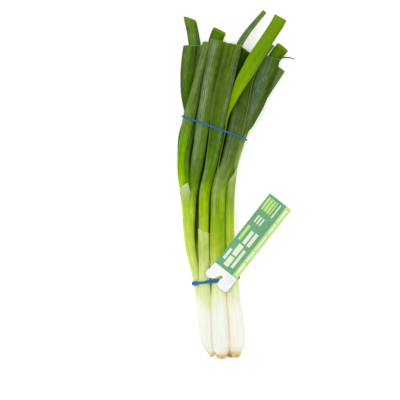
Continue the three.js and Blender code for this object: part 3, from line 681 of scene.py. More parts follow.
@dataclass(frozen=True)
class PlantFinish:
    """The colour, veins, bloom and gloss of a leaf or stem.

    Its flanks carry painted shade, as dark as the share in the field after bloom; fray is how far the borders
    of its colours stray as a share of the ramp, streaks how strong its streaks are and glow how much light
    shines into it.
    """

    name: str
    stops: tuple[Stop, ...]
    bloom: Colour = WAX_BLOOM
    dusk: float = 0.45
    fray: float = 0.05
    streaks: float = 0.30
    roughness: float = 0.42
    vein_depth: float = 0.00012
    glow: float = 0.0

    SHINE = 0.05
    # How often each streaky noise varies in a mm, round the skin and along it.
    HAIR = (2.4, 0.012)
    VEIN = (0.95, 0.016)
    BROAD = (0.33, 0.010)
    FLECK = (1.2, 0.14)

    def material(self) -> bpy.types.Material:
        """Makes the material.

        Returns:
            A material that reads the marks of a plant skin.
        """
        bench = NodeBench(self.name)
        hair = bench.noise(bench.lay(*self.HAIR), 1.0, 2.0, 0.6)
        vein = bench.noise(bench.lay(*self.VEIN), 1.0, 2.0, 0.55, 0.15)
        broad = bench.noise(bench.lay(*self.BROAD), 1.0, 2.0, 0.5, 0.3)
        cloud = bench.clouds(110.0, 3.0, 0.6)
        fleck = bench.noise(bench.lay(*self.FLECK), 1.0, 3.0, 0.65)
        fine = bench.plus(bench.times(hair, 0.4), bench.times(vein, 0.6))
        grain = Grain(fine, broad, cloud, fleck)

        colour = self._shaded(bench, grain, self._along(bench, fine))
        # The pale mark is real paper at a collar's rim and, in thin lines along some leaf edges, painted
        # highlights.
        colour = bench.mix(bench.mark("pale"), colour, PAPER_AND_EDGE_HIGHLIGHT)
        waxy = bench.span(bench.plus(fine, bench.times(fleck, 0.5)), 0.62, 0.86, 0.12, 1.0)
        waxy = bench.times(waxy, bench.span(cloud, 0.35, 0.6, 0.55, 1.0))
        bloom = bench.reckon("MULTIPLY", bench.mark("bloom"), waxy, clamp=True)
        colour = bench.mix(bloom, colour, self.bloom)
        # The first of these marks is painted light in the creases between bulbs; inside and cut are the
        # leaf's own colours.
        for mark, tint in (("straw", STRAW), ("inside", INNER_WALL), ("cut", CUT_RIM)):
            colour = bench.mix(bench.mark(mark), colour, tint)

        rough = bench.plus(bench.span(fleck, 0.3, 0.7, self.roughness - 0.05, self.roughness + 0.07),
                           bench.times(bloom, 0.25))
        normal = bench.bump(fine, self.vein_depth, 0.6)
        normal = bench.bump(cloud, 0.00015, 0.25, normal)
        fixed: dict[str, Any] = {"Specular_IOR_Level": self.SHINE}
        if self.glow:
            fixed |= {"Subsurface_Weight": self.glow, "Subsurface_Radius": (1.0, 1.0, 0.7),
                      "Subsurface_Scale": 0.003}
        return bench.finish(colour, rough, normal, **fixed)

    def _along(self, bench: NodeBench, fine: Socket) -> Socket:
        """The colour that goes with the height, with each border frayed into fine points.

        Args:
            bench: The material's bench.
            fine: The fine veins.

        Returns:
            The colour's socket.
        """
        strayed = bench.times(bench.less(fine, 0.5), self.fray)
        stops = [((height - LOWEST_RISE) / RISE_SPAN, colour) for height, colour in self.stops]
        return bench.ramp(bench.plus(bench.mark("rise"), strayed), stops)

    def _shaded(self, bench: NodeBench, grain: Grain, colour: Socket) -> Socket:
        """A colour with lighter and darker streaks, which the white bulb hardly has, and painted shade on its
        flanks.

        Args:
            bench: The material's bench.
            grain: The noises of the skin.
            colour: The colour without them.

        Returns:
            The shaded colour's socket.
        """
        layers = ((grain.fine, 0.36, 0.64, 1.0), (grain.broad, 0.34, 0.66, 0.7),
                  (grain.cloud, 0.35, 0.65, 0.4), (grain.fleck, 0.36, 0.64, 0.45))
        swings = [bench.span(noise, low, high, 1.0 - share * self.streaks, 1.0 + share * self.streaks)
                  for noise, low, high, share in layers]
        level = swings[0]
        for swing in swings[1:]:
            level = bench.times(level, swing)
        green = bench.span(bench.mark("rise"), 0.14, 0.30, 0.16, 1.0)
        level = bench.plus(1.0, bench.times(bench.less(level, 1.0), green))
        # Painted shade: the marked flanks are darkened by the finish's share.
        level = bench.times(level, bench.less(1.0, bench.times(bench.mark("dusk"), self.dusk)))
        grey = bench.add("ShaderNodeCombineColor")
        bench.feed_all(grey, Red=level, Green=level, Blue=level)
        return bench.mix(1.0, colour, grey.outputs[0], "MULTIPLY")


# ---- leaves and stems ----


class Wall(Enum):
    """Which part of a hollow end a ring of points belongs to."""

    SKIN = 0
    EDGE = 1
    INSIDE = 2


@dataclass(frozen=True)
class Layer:
    """Some rings of a leaf or stem: how far from the root they lie, in mm, and what they belong to.

    slimmer is how much narrower and how much thinner than the leaf or stem they are, in mm.
    """

    spots: Array
    slimmer: tuple[float, float] = (0.0, 0.0)
    wall: Wall = Wall.SKIN


@dataclass
class PlantPart:
    """What a leaf and a stem share: rows along a spine, a finish and soft strokes of colour.

    Each kind has layers, which lists its rings, and rings, which places them.
    """

    name: str
    rows: Rows
    finish: PlantFinish
    strokes: tuple[Stroke, ...] = ()
    seed: int = 1

    @cached_property
    def spine(self) -> Spine:
        """The middle line."""
        return Spine(self.rows)

    def surface(self) -> tuple[Array, Array, Array, Array]:
        """Gathers the rings from the root up the skin, over the rim and down the inside.

        Returns:
            The rings clear of the floor, their places across from -1 to 1, how far along the surface
            each one lies, in mm, and what it belongs to, as a column.
        """
        found = []
        for layer in self.layers(self.spine.length):
            depths = self.spine.length - layer.spots
            rings, sides = self.rings(self.spine.stations(layer.spots), depths, layer.slimmer)
            lengths = layer.spots if layer.wall is Wall.SKIN else self.spine.length + depths
            found.append((rings, sides, lengths, np.full(len(lengths), layer.wall.value)))
        rings, sides, lengths, walls = (np.concatenate(parts) for parts in zip(*found))
        return off_floor(rings), sides, lengths, walls[:, None]

    def marks(self, x: Array, y: Array, slant: float | Array = 0.0) -> dict[str, Array]:
        """The marks that the finish reads, before any end is marked.

        Args:
            x: Places across, from -1 to 1.
            y: Heights, in mm.
            slant: How much higher the colours reach on the left edge than in the middle, in mm.

        Returns:
            A value for each point of each mark.
        """
        found = {tint.value: np.zeros_like(x) for tint in Tint}
        for stroke in self.strokes:
            found[stroke.tint.value] += stroke.weight(x, y)
        for values in found.values():
            np.clip(values, 0.0, 1.0, out=values)
        found["rise"] = np.clip((y + slant * x - LOWEST_RISE) / RISE_SPAN, 0.0, 1.0)
        found["inside"] = np.zeros_like(x)
        found["cut"] = np.zeros_like(x)
        return found

    def finish_piece(self, skin: Skin, slot: str, *nodes: str) -> Piece:
        """Makes the object, dresses it and puts it on the model's body.

        Args:
            skin: Its surface.
            slot: A slot's name, which it passes on to seat.
            *nodes: The solids that it stands for.

        Returns:
            The finished piece.
        """
        piece = skin.to_object(self.name)
        piece.data.materials.append(self.finish.material())
        return seat(piece, slot, *nodes)


@dataclass
class Leaf(PlantPart):
    """A flattened hollow leaf that was cut across, or a closed strap if it has no pocket.

    A row is x, y, z, width, thickness and roll in degrees. skew is how much further the left edge
    of the cut reaches than the right edge, and lip how much further the under wall reaches. The
    section is round at the root and folded from settle mm on, wall is the wall's thickness and
    pocket how deep the cut end is open. sway is how far the middle line strays, in mm.
    """

    node: str = ""
    ridges: tuple[Ridge, ...] = ()
    skew: float = 0.0
    lip: float = 0.0
    fold: float = 0.45
    settle: float = 45.0
    wall: float = 0.5
    pocket: float = 12.0
    sides: int = 64
    sway: float = 0.25

    RING_STEP = 1.9           # between two rings along the leaf, in mm
    LEAST_RINGS = 24
    LAST_RINGS = (0.5, 0.15)  # how far from the tip the last two rings of the skin lie, in mm
    SWAY_STEP = 19.0          # between two turns of the middle line, in mm
    SWELL_STEP = 13.0         # between two changes of the width, in mm
    SWELL = 0.02              # how much the width changes, as a share of it
    WAVES = ((0.035, 3, 17, 1), (0.025, 5, -11, 2))    # of the thickness
    LEAST_WIDTH = 0.2
    LEAST_THICK = 0.12

    def layers(self, length: float) -> list[Layer]:
        """The rings of the skin, of the cut edge and of the pocket.

        Args:
            length: How long the leaf is, in mm.

        Returns:
            The layers, in order along the surface.
        """
        count = max(self.LEAST_RINGS, int(length / self.RING_STEP))
        skin = np.linspace(0.0, length - self.LAST_RINGS[0], count)
        ends = [(0.0, (0.3, 0.25), Wall.EDGE), (0.0, (1.2, 0.7), Wall.EDGE)]
        if self.pocket > 0:
            ends = [(0.0, (0.16, 0.14), Wall.EDGE),
                    (0.0, (1.7 * self.wall, 1.6 * self.wall), Wall.EDGE),
                    ((0.25, 1.2, 3.0), (2.3 * self.wall, 2.0 * self.wall), Wall.INSIDE),
                    (np.linspace(5.0, self.pocket, 4), (2.5 * self.wall, 2.2 * self.wall), Wall.INSIDE)]
        return [Layer(np.append(skin, length - self.LAST_RINGS[1])),
                *(Layer(length - np.atleast_1d(depths), slimmer, wall) for depths, slimmer, wall in ends)]

    def section(self, lengths: Array) -> tuple[Array, Array]:
        """The leaf's outline at some distances along it, round at its root and folded further up.

        Args:
            lengths: Distances from the root, in mm.

        Returns:
            Places across and up, from -1 to 1, one row for each distance.
        """
        angle = circle(self.sides, UNDERSIDE)[None, :]
        c, s = np.cos(angle), np.sin(angle)
        share = smooth_step(0.0, self.settle, lengths)[:, None]
        x = boxy(c, 0.92 - 0.07 * share)
        fold = self.fold * share
        z = np.sign(s) * (np.abs(s) ** 0.92 * (1.0 - fold) + (1.0 - np.abs(x) ** 3) * fold)
        for ridge in self.ridges:
            z = z + ridge.lift(x, s) * share
        return x, z * (1.0 + ripples(angle, lengths[:, None], self.seed, self.WAVES) * share)

    def rings(self, at: Stations, depths: Array, slimmer: tuple[float, float]) -> tuple[Array, Array]:
        """Rings of points at some stations.

        Args:
            at: The stations.
            depths: How far from the tip they lie, in mm.
            slimmer: How much narrower and how much thinner than the leaf the rings are, in mm.

        Returns:
            The points, in mm, and their places across.
        """
        x, z = self.section(at.length)
        fade = end_fade(depths, CUT_FADE)[:, None]
        stray = wander(self.seed, at.length, self.SWAY_STEP) * self.sway
        swell = 1.0 + self.SWELL * wander(self.seed + 50, at.length, self.SWELL_STEP)
        width = np.maximum(at.row[:, 3] * swell - slimmer[0], self.LEAST_WIDTH)[:, None, None]
        thick = np.maximum(at.row[:, 4] * (2.0 - swell) - slimmer[1], self.LEAST_THICK)[:, None, None]
        shift = -self.skew / 2 * x - self.lip / 2 * boxy(z, 0.35)
        ragged = 0.10 * np.sin(9.0 * x + self.seed) + 0.07 * np.sin(23.0 * x + 5.0 * z)
        shift = shift * fade + ragged * fade
        middle = at.centre + at.across * stray[:, None]
        points = (middle[:, None] + at.across[:, None] * x[..., None] * width / 2
                  + at.out[:, None] * z[..., None] * thick / 2 + at.along[:, None] * shift[..., None])
        return points, x

    def build(self) -> Piece:
        """Builds the leaf.

        Returns:
            The finished piece.
        """
        rings, x, lengths, walls = self.surface()
        marks = self.marks(x, rings[..., 1])
        marks["cut"] = np.where(walls == Wall.EDGE.value, 0.9, 0.0) * np.ones_like(x)
        marks["inside"] = np.where(walls == Wall.INSIDE.value, 0.95, 0.0) * np.ones_like(x)
        return self.finish_piece(Skin(rings, lengths, marks), "leaf", self.node)


@dataclass
class Stem(PlantPart):
    """A white bulb and the sheath above it, whose open rim the leaves come out of.

    A row is x, y, z, half width and half height. collar is how much further the rim reaches at its
    left edge than at its right edge, and peak a tongue of it: the side it is at, its reach, and its
    widths to the left and right. notch is how deep the rim's slit is, notch_side where it lies and
    notch_from the height it starts at. slant is how far the colours of the lower and upper stem
    slope, slope_run the length over which the rim's slope fades out, and papery and paper are how
    strong and how long its dry edge is. The stem is pressed flat against those beside it.
    """

    nodes: tuple[str, ...] = ()
    collar: float = 0.0
    peak: tuple[float, float, float, float] = (0.0, 0.0, 1.0, 1.0)
    notch: float = 0.0
    notch_side: float = 0.0
    notch_from: float = -40.0
    wall: float = 0.35
    pocket: float = 7.0
    sides: int = 80
    slant: tuple[float, float] = (0.0, 0.0)
    rim: bool = True
    papery: float = 1.0
    slope_run: float = 9.0
    paper: float = 2.2
    beside: tuple[Neighbour, ...] = ()

    RING_STEP = 1.8           # between two rings along the stem, in mm
    FOOT = 5.0                # the length of the bulb's foot, which has closer rings, in mm
    FOOT_RINGS = 9
    LAST_RINGS = (0.5, 0.12)  # how far from the rim the last two rings of the skin lie, in mm
    RIBS = ((0.0035, 22, -90, 3),)                     # fine waves of the radius
    LOBES = ((0.016, 2, 41, 1), (0.012, 3, -57, 2))    # broad ones
    BULB_FADE = (-128.0, -96.0)   # the heights between which the bulb's fuller section fades out
    SLANT_FADE = (-112.0, -62.0)  # the heights between which the lower slant becomes the upper one

    def section(self, at: Stations) -> tuple[Array, Array, Array]:
        """The stem's outline at some stations: an oval with faint ribs and, near the rim, a notch.

        Args:
            at: The stations.

        Returns:
            Places across and up, and the share by which each point is swollen.
        """
        angle = circle(self.sides, UNDERSIDE)
        run = at.length[:, None]
        full = 0.08 + 0.10 * (1.0 - smooth_step(*self.BULB_FADE, at.centre[:, 1]))[:, None]
        x, z = boxy(np.cos(angle), 1.0 - full), boxy(np.sin(angle), 1.0 - full)
        ribs = 0.0045 * np.sin(13.0 * angle + 0.8 * np.sin(run / 31.0) + self.seed)
        ribs = ribs + ripples(angle, run, self.seed, self.RIBS)
        lobes = ripples(angle, run, self.seed, self.LOBES)
        if self.notch:
            dip = hump(x, self.notch_side, 0.34) * np.sqrt(np.abs(z))
            rise = smooth_step(self.notch_from, at.centre[-1, 1], at.centre[:, 1])[:, None]
            z = z * (1.0 - self.notch * dip * rise)
        return x, z, 1.0 + ribs + lobes

    def layers(self, length: float) -> list[Layer]:
        """The rings of the skin and of the open rim.

        Args:
            length: How long the stem is, in mm.

        Returns:
            The layers, in order along the surface.
        """
        foot = np.linspace(0.0, self.FOOT, self.FOOT_RINGS)[:-1]
        upper = np.linspace(self.FOOT, length - self.LAST_RINGS[0], int(length / self.RING_STEP))
        skin = Layer(np.concatenate([foot, upper, [length - self.LAST_RINGS[1]]]))
        inner = ((0.0, 0.06, Wall.EDGE), (0.0, 0.8 * self.wall, Wall.EDGE), (0.2, self.wall, Wall.INSIDE),
                 (1.5, 1.3 * self.wall, Wall.INSIDE), (self.pocket, 2.2 * self.wall, Wall.INSIDE))
        return [skin, *(Layer(np.array([length - depth]), (slimmer, slimmer), wall)
                        for depth, slimmer, wall in inner if self.rim)]

    def rings(self, at: Stations, depths: Array, slimmer: tuple[float, float]) -> tuple[Array, Array]:
        """Rings of points at some stations.

        Args:
            at: The stations.
            depths: How far from the rim they lie, in mm.
            slimmer: How much smaller the rings' half widths and half heights are, in mm.

        Returns:
            The points, in mm, and their places across.
        """
        x, z, swell = self.section(at)
        wide = (at.row[:, 3] - slimmer[0])[:, None, None]
        high = (at.row[:, 4] - slimmer[1])[:, None, None]
        side, reach, left, right = self.peak
        tongue = reach * hump(x, side, np.where(x < side, left, right)) * (z > 0)
        shift = -self.collar / 2 * x + tongue
        shift = (shift + 0.12 * np.sin(11.0 * x + self.seed)) * end_fade(depths, self.slope_run)[:, None]
        points = (at.centre[:, None] + at.across[:, None] * (x * swell)[..., None] * wide
                  + at.out[:, None] * (z * swell)[..., None] * high + at.along[:, None] * shift[..., None])
        for neighbour in self.beside:
            points = neighbour.press(points, at)
        return points, x

    def build(self) -> Piece:
        """Builds the stem.

        Returns:
            The finished piece.
        """
        rings, x, lengths, walls = self.surface()
        marks = self.marks(x, rings[..., 1], np.interp(rings[..., 1], self.SLANT_FADE, self.slant))
        if self.rim:
            edge = np.clip(1.0 - (self.spine.length - lengths) / self.paper, 0.0, 1.0)[:, None]
            dry = np.where(walls == Wall.SKIN.value, 0.55 * edge ** 2, 0.8) * np.ones_like(x)
            marks["pale"] = np.clip(marks["pale"] + self.papery * dry, 0.0, 1.0)
        return self.finish_piece(Skin(rings, lengths, marks), "bulb", *self.nodes)


# ---- roots ----


@dataclass
class MeshParts:
    """Tubes gathered for one mesh, with one mark at each point."""

    points: list[Array] = field(default_factory=list)
    faces: list[tuple[int, ...]] = field(default_factory=list)
    marks: list[Array] = field(default_factory=list)

    def add_tube(self, rings: Array, marks: Array) -> None:
        """Adds a closed tube through rings of points.

        Args:
            rings: Rings of points, in mm.
            marks: One mark for each ring.
        """
        base = sum(len(points) for points in self.points)
        points, faces = tube(rings)
        self.points.append(points)
        self.faces.extend(tuple(base + k for k in face) for face in faces)
        self.marks.append(np.concatenate([np.repeat(marks, rings.shape[1]), marks[[0, -1]]]))

    def to_object(self, name: str, mark: str) -> Piece:
        """Makes the object.

        Args:
            name: The piece's name.
            mark: What its marks are called.

        Returns:
            The new object, linked to the scene.
        """
        piece = smooth_piece(name, np.concatenate(self.points), self.faces)
        add_mark(piece, mark, np.concatenate(self.marks))
        return piece


@dataclass(frozen=True)
class RootFinish:
    """Dried, fibrous tan of the root plate and the cut roots."""

    name: str = "dried_roots"
    pale: Colour = tone(247, 231, 192)
    tan: Colour = tone(245, 221, 160)
    brown: Colour = tone(222, 180, 112)

    def material(self) -> bpy.types.Material:
        """Makes the material, whose mark "dry" goes from the moist plate to the dry root ends.

        Returns:
            The material, the same one each time.
        """
        found = bpy.data.materials.get(self.name)
        if found is not None:
            return found
        bench = NodeBench(self.name)
        cloud = bench.clouds(520.0, 4.0, 0.6)
        spots = bench.clouds(1500.0, 3.0, 0.6)
        dryness = bench.plus(bench.mark("dry"), bench.span(cloud, 0.25, 0.75, -0.35, 0.35), clamp=True)
        colour = bench.ramp(dryness, [(0.0, self.pale), (0.45, self.tan), (1.0, self.brown)])
        colour = bench.mix(bench.span(spots, 0.3, 0.7, 0.0, 0.35), colour, self.brown)
        normal = bench.bump(spots, 0.0003, 0.6)
        normal = bench.bump(cloud, 0.0004, 0.5, normal)
        rough = bench.span(cloud, 0.3, 0.7, 0.75, 0.95)
        return bench.finish(colour, rough, normal, Specular_IOR_Level=0.25)


@dataclass
class RootTuft:
    """The trimmed root plate under a bulb, with many short cut roots.

    bulb is the foot of the stem's table, reach the length of the longest roots and floor_y how
    low any of them may end.
    """

    name: str
    node: str
    bulb: Rows
    seed: int
    reach: float = 4.6
    finish: RootFinish = RootFinish()
    count: int = 64
    floor_y: float = -167.6

    PLATE_SIDES = 40
    ROOT_SIDES = 8
    GOLDEN_ANGLE = 2.39996
    # The plate's rings: share of the bulb's radius, place along the bulb in mm, and dryness.
    PLATE = ((0.93, 0.5, 0.1), (1.03, 0.05, 0.2), (1.08, -0.45, 0.45), (1.0, -0.95, 0.6),
             (0.82, -1.35, 0.55), (0.5, -1.62, 0.7), (0.2, -1.7, 0.8))

    def build(self) -> Piece:
        """Builds the plate and its roots.

        Returns:
            The finished piece.
        """
        random = np.random.default_rng(self.seed)
        at = Spine(self.bulb).stations(np.array([0.0]))
        centre, along, across, out = at.centre[0], at.along[0], at.across[0], at.out[0]
        radius = float(at.row[0, 3])
        angle = circle(self.PLATE_SIDES)
        lumps = 1.0 + 0.05 * np.sin(5 * angle + self.seed) + 0.035 * np.sin(9 * angle + 2 * self.seed)
        sag = 0.10 * np.sin(7 * angle + 3.0 * self.seed)
        spread = across * np.cos(angle)[:, None] + out * np.sin(angle)[:, None]
        rings, dry = [], []
        for share, place, dryness in self.PLATE:
            span = radius * share * (lumps if share > 0.4 else 1.0)
            rings.append(centre + spread * np.reshape(span, (-1, 1)) + along * (place + sag)[:, None])
            dry.append(dryness)
        parts = MeshParts()
        parts.add_tube(np.array(rings[::-1]), np.array(dry[::-1]))
        for i in range(self.count):
            self._add_root(parts, random, i, (centre, along, across, out), radius)
        piece = parts.to_object(self.name, "dry")
        piece.data.materials.append(self.finish.material())
        return seat(piece, "root", self.node)

    def _add_root(self, parts: MeshParts, random: np.random.Generator, index: int,
                  place: tuple[Array, Array, Array, Array], radius: float) -> None:
        """Adds one short root that springs from the plate and was cut off.

        Args:
            parts: What it is added to.
            random: Where its chances come from.
            index: Which root it is; the first ones spring from the middle.
            place: The plate's middle and the directions along the bulb, across and out.
            radius: The plate's radius, in mm.
        """
        centre, along, across, out = place
        turn = index * self.GOLDEN_ANGLE + random.uniform(-0.3, 0.3)
        share = math.sqrt((index + 0.5) / self.count)
        side = across * math.cos(turn) + out * math.sin(turn)
        start = centre + side * radius * 0.96 * share - along * (0.3 + 0.6 * (1.0 - share))
        heading = side * random.uniform(-0.32, 0.16) * share + across * random.uniform(-0.22, 0.22)
        heading += out * random.uniform(-0.22, 0.22) - along
        heading /= np.linalg.norm(heading)
        length = self.reach * random.uniform(0.62, 1.0) * (1.0 - 0.34 * share ** 2)
        thick = random.uniform(0.30, 0.52)
        steps = np.linspace(0.0, 1.0, 9)
        curl = across * random.uniform(-0.5, 0.5) + out * random.uniform(-0.5, 0.5)
        wave = np.sin(steps * random.uniform(3.0, 6.0) + random.uniform(0.0, 6.0))
        wave = (wave - wave[0]) * steps ** 0.5
        spots = start + heading * (steps * length)[:, None] + curl * wave[:, None]
        spots[:, 1] = np.maximum(spots[:, 1], self.floor_y + 0.05)
        spots[:, 2] = np.maximum(spots[:, 2], thick + 0.05)
        first = np.cross(heading, (0.0, 0.0, 1.0))
        first /= np.linalg.norm(first)
        angle = circle(self.ROOT_SIDES)
        spread = first * np.cos(angle)[:, None] + np.cross(first, heading) * np.sin(angle)[:, None]
        sizes = thick * (1.0 - 0.25 * steps) * (1.0 + 0.08 * np.sin(9 * steps + index))
        sizes = np.concatenate([sizes, [sizes[-1] * 0.55]])
        spots = np.concatenate([spots, spots[-1:] + heading * 0.06])
        rings = spots[:, None] + spread[None] * sizes[:, None, None]
        rings[..., 1] = np.maximum(rings[..., 1], self.floor_y)
        dryness = np.concatenate([0.1 + 0.4 * steps, [0.9]]) + random.uniform(-0.15, 0.3)
        parts.add_tube(rings, np.clip(dryness, 0.0, 1.0))


# ---- rubber bands ----


@dataclass(frozen=True)
class RubberFinish:
    """Coloured natural rubber: a little dusty, faintly translucent at its edges."""

    name: str
    colour: Colour
    deep: Colour

    CHALK = tone(176, 200, 222)

    def material(self) -> bpy.types.Material:
        """Makes the material.

        Returns:
            The material.
        """
        bench = NodeBench(self.name)
        dust = bench.clouds(700.0, 4.0, 0.6)
        grain = bench.clouds(2600.0, 2.0)
        colour = bench.mix(bench.span(dust, 0.32, 0.68), self.deep, self.colour)
        colour = bench.mix(bench.span(grain, 0.45, 0.75, 0.0, 0.14), colour, self.CHALK)
        normal = bench.bump(grain, 0.00006, 0.5)
        normal = bench.bump(dust, 0.00012, 0.4, normal)
        rough = bench.span(dust, 0.3, 0.7, 0.48, 0.66)
        return bench.finish(colour, rough, normal, Specular_IOR_Level=0.2, Subsurface_Weight=0.05,
                            Subsurface_Radius=(0.3, 0.6, 1.0), Subsurface_Scale=0.001)


def outline_round(points: Array) -> Array:
    """The tight loop round some flat points, turning left all the way.

    Args:
        points: Pairs of numbers.

    Returns:
        The loop's corners.
    """
    def half(ordered: Array) -> list[Array]:
        """One side of the loop.

        Args:
            ordered: The points from one end to the other.

        Returns:
            The corners of that side, without its last one.
        """
        chain: list[Array] = []
        for p in ordered:
            while len(chain) > 1:
                a, b = chain[-2], chain[-1]
                if (b[0] - a[0]) * (p[1] - a[1]) - (b[1] - a[1]) * (p[0] - a[0]) > 0:
                    break
                chain.pop()
            chain.append(p)
        return chain[:-1]

    ordered = points[np.lexsort((points[:, 1], points[:, 0]))]
    return np.array(half(ordered) + half(ordered[::-1]))


@dataclass(frozen=True)
class Strand:
    """One turn of a rubber band, in an upright plane through left that runs right at a slope.

    It sways sideways by wobble and hops outward by lift, waves times round, from phase on.
    """

    left: tuple[float, float]
    slope: float
    wobble: float
    waves: int
    phase: float = 0.0
    lift: float = 0.0

    FACINGS = 1440    # the directions in which the band's outline is looked up
    SIDES = 14
    SQUARENESS = 0.65

    def directions(self) -> tuple[Array, Array]:
        """The plane's own axes.

        Returns:
            The direction to the right in the plane, and the plane's normal.
        """
        right = np.array([1.0, self.slope, 0.0])
        right /= np.linalg.norm(right)
        return right, np.cross((0.0, 0.0, 1.0), right)

    def crossings(self, pieces: list[Piece]) -> Array:
        """Where the edges of some pieces cross the strand's plane.

        Args:
            pieces: The pieces.

        Returns:
            The crossings as right and up, in mm.
        """
        right, normal = self.directions()
        found = []
        for piece in pieces:
            mesh = piece.data
            points = np.empty(len(mesh.vertices) * 3)
            mesh.vertices.foreach_get("co", points)
            points = points.reshape(-1, 3) / MM - (*self.left, 0.0)
            ends = np.empty(len(mesh.edges) * 2, int)
            mesh.edges.foreach_get("vertices", ends)
            a, b = points[ends[::2]], points[ends[1::2]]
            da, db = a @ normal, b @ normal
            cut = (da < 0) != (db < 0)
            share = (da[cut] / (da[cut] - db[cut]))[:, None]
            spots = a[cut] + (b[cut] - a[cut]) * share
            found.append(np.stack([spots @ right, spots[:, 2]], axis=1))
        return np.concatenate(found)

    def loop(self, pieces: list[Piece], clear: float, count: int) -> tuple[Array, Array]:
        """The middle line of the strand where it lies tight round some pieces.

        Args:
            pieces: The pieces.
            clear: How far the line stays off them, in mm.
            count: How many places it has.

        Returns:
            The places as right and up, in mm, and the outward direction at each.
        """
        corners = outline_round(self.crossings(pieces))
        turn = np.linspace(0.0, 2 * math.pi, self.FACINGS + 1)[:-1]
        facing = np.stack([np.cos(turn), np.sin(turn)], axis=1)
        path = corners[np.argmax(corners @ facing.T, axis=0)] + facing * clear
        path = np.concatenate([path, path[:1]])
        measured = run_length(path)
        even = np.linspace(0.0, measured[-1], count + 1)[:-1]
        place = np.stack([np.interp(even, measured, path[:, k]) for k in (0, 1)], axis=1)
        ahead = unit(np.roll(place, -1, axis=0) - np.roll(place, 1, axis=0))
        return place, np.stack([ahead[:, 1], -ahead[:, 0]], axis=1)

    def rings(self, pieces: list[Piece], wide: float, thick: float, clear: float, count: int) -> Array:
        """Rings of the strand's rounded flat section, stretched round what it crosses.

        Args:
            pieces: What it is stretched round.
            wide: Its half width.
            thick: Its half thickness.
            clear: How far its inner side stays off the pieces.
            count: How many rings it has.

        Returns:
            The points, in mm.
        """
        right, normal = self.directions()
        place, outward = self.loop(pieces, thick + clear, count)
        lap = circle(count)
        sway = self.wobble * np.sin(self.waves * lap + self.phase)
        hop = self.lift * (1.0 + np.cos(self.waves * lap + self.phase)) / 2
        place = place + outward * hop[:, None]
        out = outward[:, :1] * right + outward[:, 1:] * np.array([0.0, 0.0, 1.0])
        middle = place[:, :1] * right + np.stack([np.zeros(count), np.zeros(count), place[:, 1]], axis=1)
        middle = middle + (*self.left, 0.0) + normal * sway[:, None]
        roll = (0.35 * np.sin(2 * lap + self.phase) + 0.15 * np.sin(7 * lap))[:, None]
        angle = circle(self.SIDES)
        c = boxy(np.cos(angle), self.SQUARENESS) * wide
        s = boxy(np.sin(angle), self.SQUARENESS) * thick
        swell = (1.0 + 0.05 * np.sin(17 * lap + self.phase) + 0.04 * np.sin(29 * lap))[:, None]
        across = normal * np.cos(roll) + out * np.sin(roll)
        up = out * np.cos(roll) - normal * np.sin(roll)
        return (middle[:, None] + across[:, None] * (c * swell)[..., None]
                + up[:, None] * (s * swell)[..., None])


@dataclass
class RubberBand:
    """A rubber band of one or more strands.

    wide and thick are half the width and thickness of a strand and clear its distance from what it
    holds, all in mm, and count is the number of its rings.
    """

    name: str
    node: str
    strands: tuple[Strand, ...]
    finish: RubberFinish
    wide: float
    thick: float = 0.7
    clear: float = 0.12
    count: int = 220

    def build(self, pieces: list[Piece]) -> Piece:
        """Stretches the band round the leaves and stems.

        Args:
            pieces: What it holds together.

        Returns:
            The finished piece.
        """
        points: list[Array] = []
        faces: list[Array] = []
        for strand in self.strands:
            rings = strand.rings(pieces, self.wide, self.thick, self.clear, self.count)
            count, sides = rings.shape[:2]
            grid = np.arange(count * sides).reshape(count, sides) + sum(len(p) for p in points)
            ahead, onward = np.roll(grid, -1, axis=0), np.roll(grid, -1, axis=1)
            both = np.roll(ahead, -1, axis=1)
            faces.append(np.stack([grid, onward, both, ahead], axis=-1).reshape(-1, 4))
            points.append(rings.reshape(-1, 3))
        piece = smooth_piece(self.name, np.concatenate(points), np.concatenate(faces).tolist())
        piece.data.materials.append(self.finish.material())
        return seat(piece, "rubber_band", self.node)


# ---- card tag ----


class Ink(Enum):
    """What a printed area of the tag is covered with."""

    CARD = 0
    GREEN = 1
    LIME = 2
    PALE = 3


@dataclass(frozen=True)
class Print:
    """A printed rectangle: from left to right across the tag and from low to high along it."""

    ink: Ink
    left: float
    right: float
    low: float
    high: float

    def holds(self, across: float, along: float) -> bool:
        """Whether a place on the tag lies in the rectangle."""
        return self.left <= across <= self.right and self.low <= along <= self.high


@dataclass(frozen=True)
class CardFinish:
    """Coated card, bare or printed with one flat ink."""

    name: str
    colour: Colour

    def material(self) -> bpy.types.Material:
        """Makes the material: paper fibres, a slightly uneven ink film and a soft sheen.

        Returns:
            The material.
        """
        bench = NodeBench(self.name)
        fibre = bench.clouds(900.0, 4.0, 0.65, 0.6)
        film = bench.clouds(60.0, 2.0)
        darker = tuple(part * 0.9 for part in self.colour)
        lighter = tuple(min(1.0, part * 1.05 + 0.004) for part in self.colour)
        colour = bench.mix(bench.span(film, 0.3, 0.7), darker, lighter)
        colour = bench.mix(bench.span(fibre, 0.35, 0.7, 0.0, 0.10), colour, tone(255, 255, 250))
        normal = bench.bump(fibre, 0.00005, 0.35)
        return bench.finish(colour, bench.span(fibre, 0.3, 0.7, 0.43, 0.54), normal, Specular_IOR_Level=0.45)


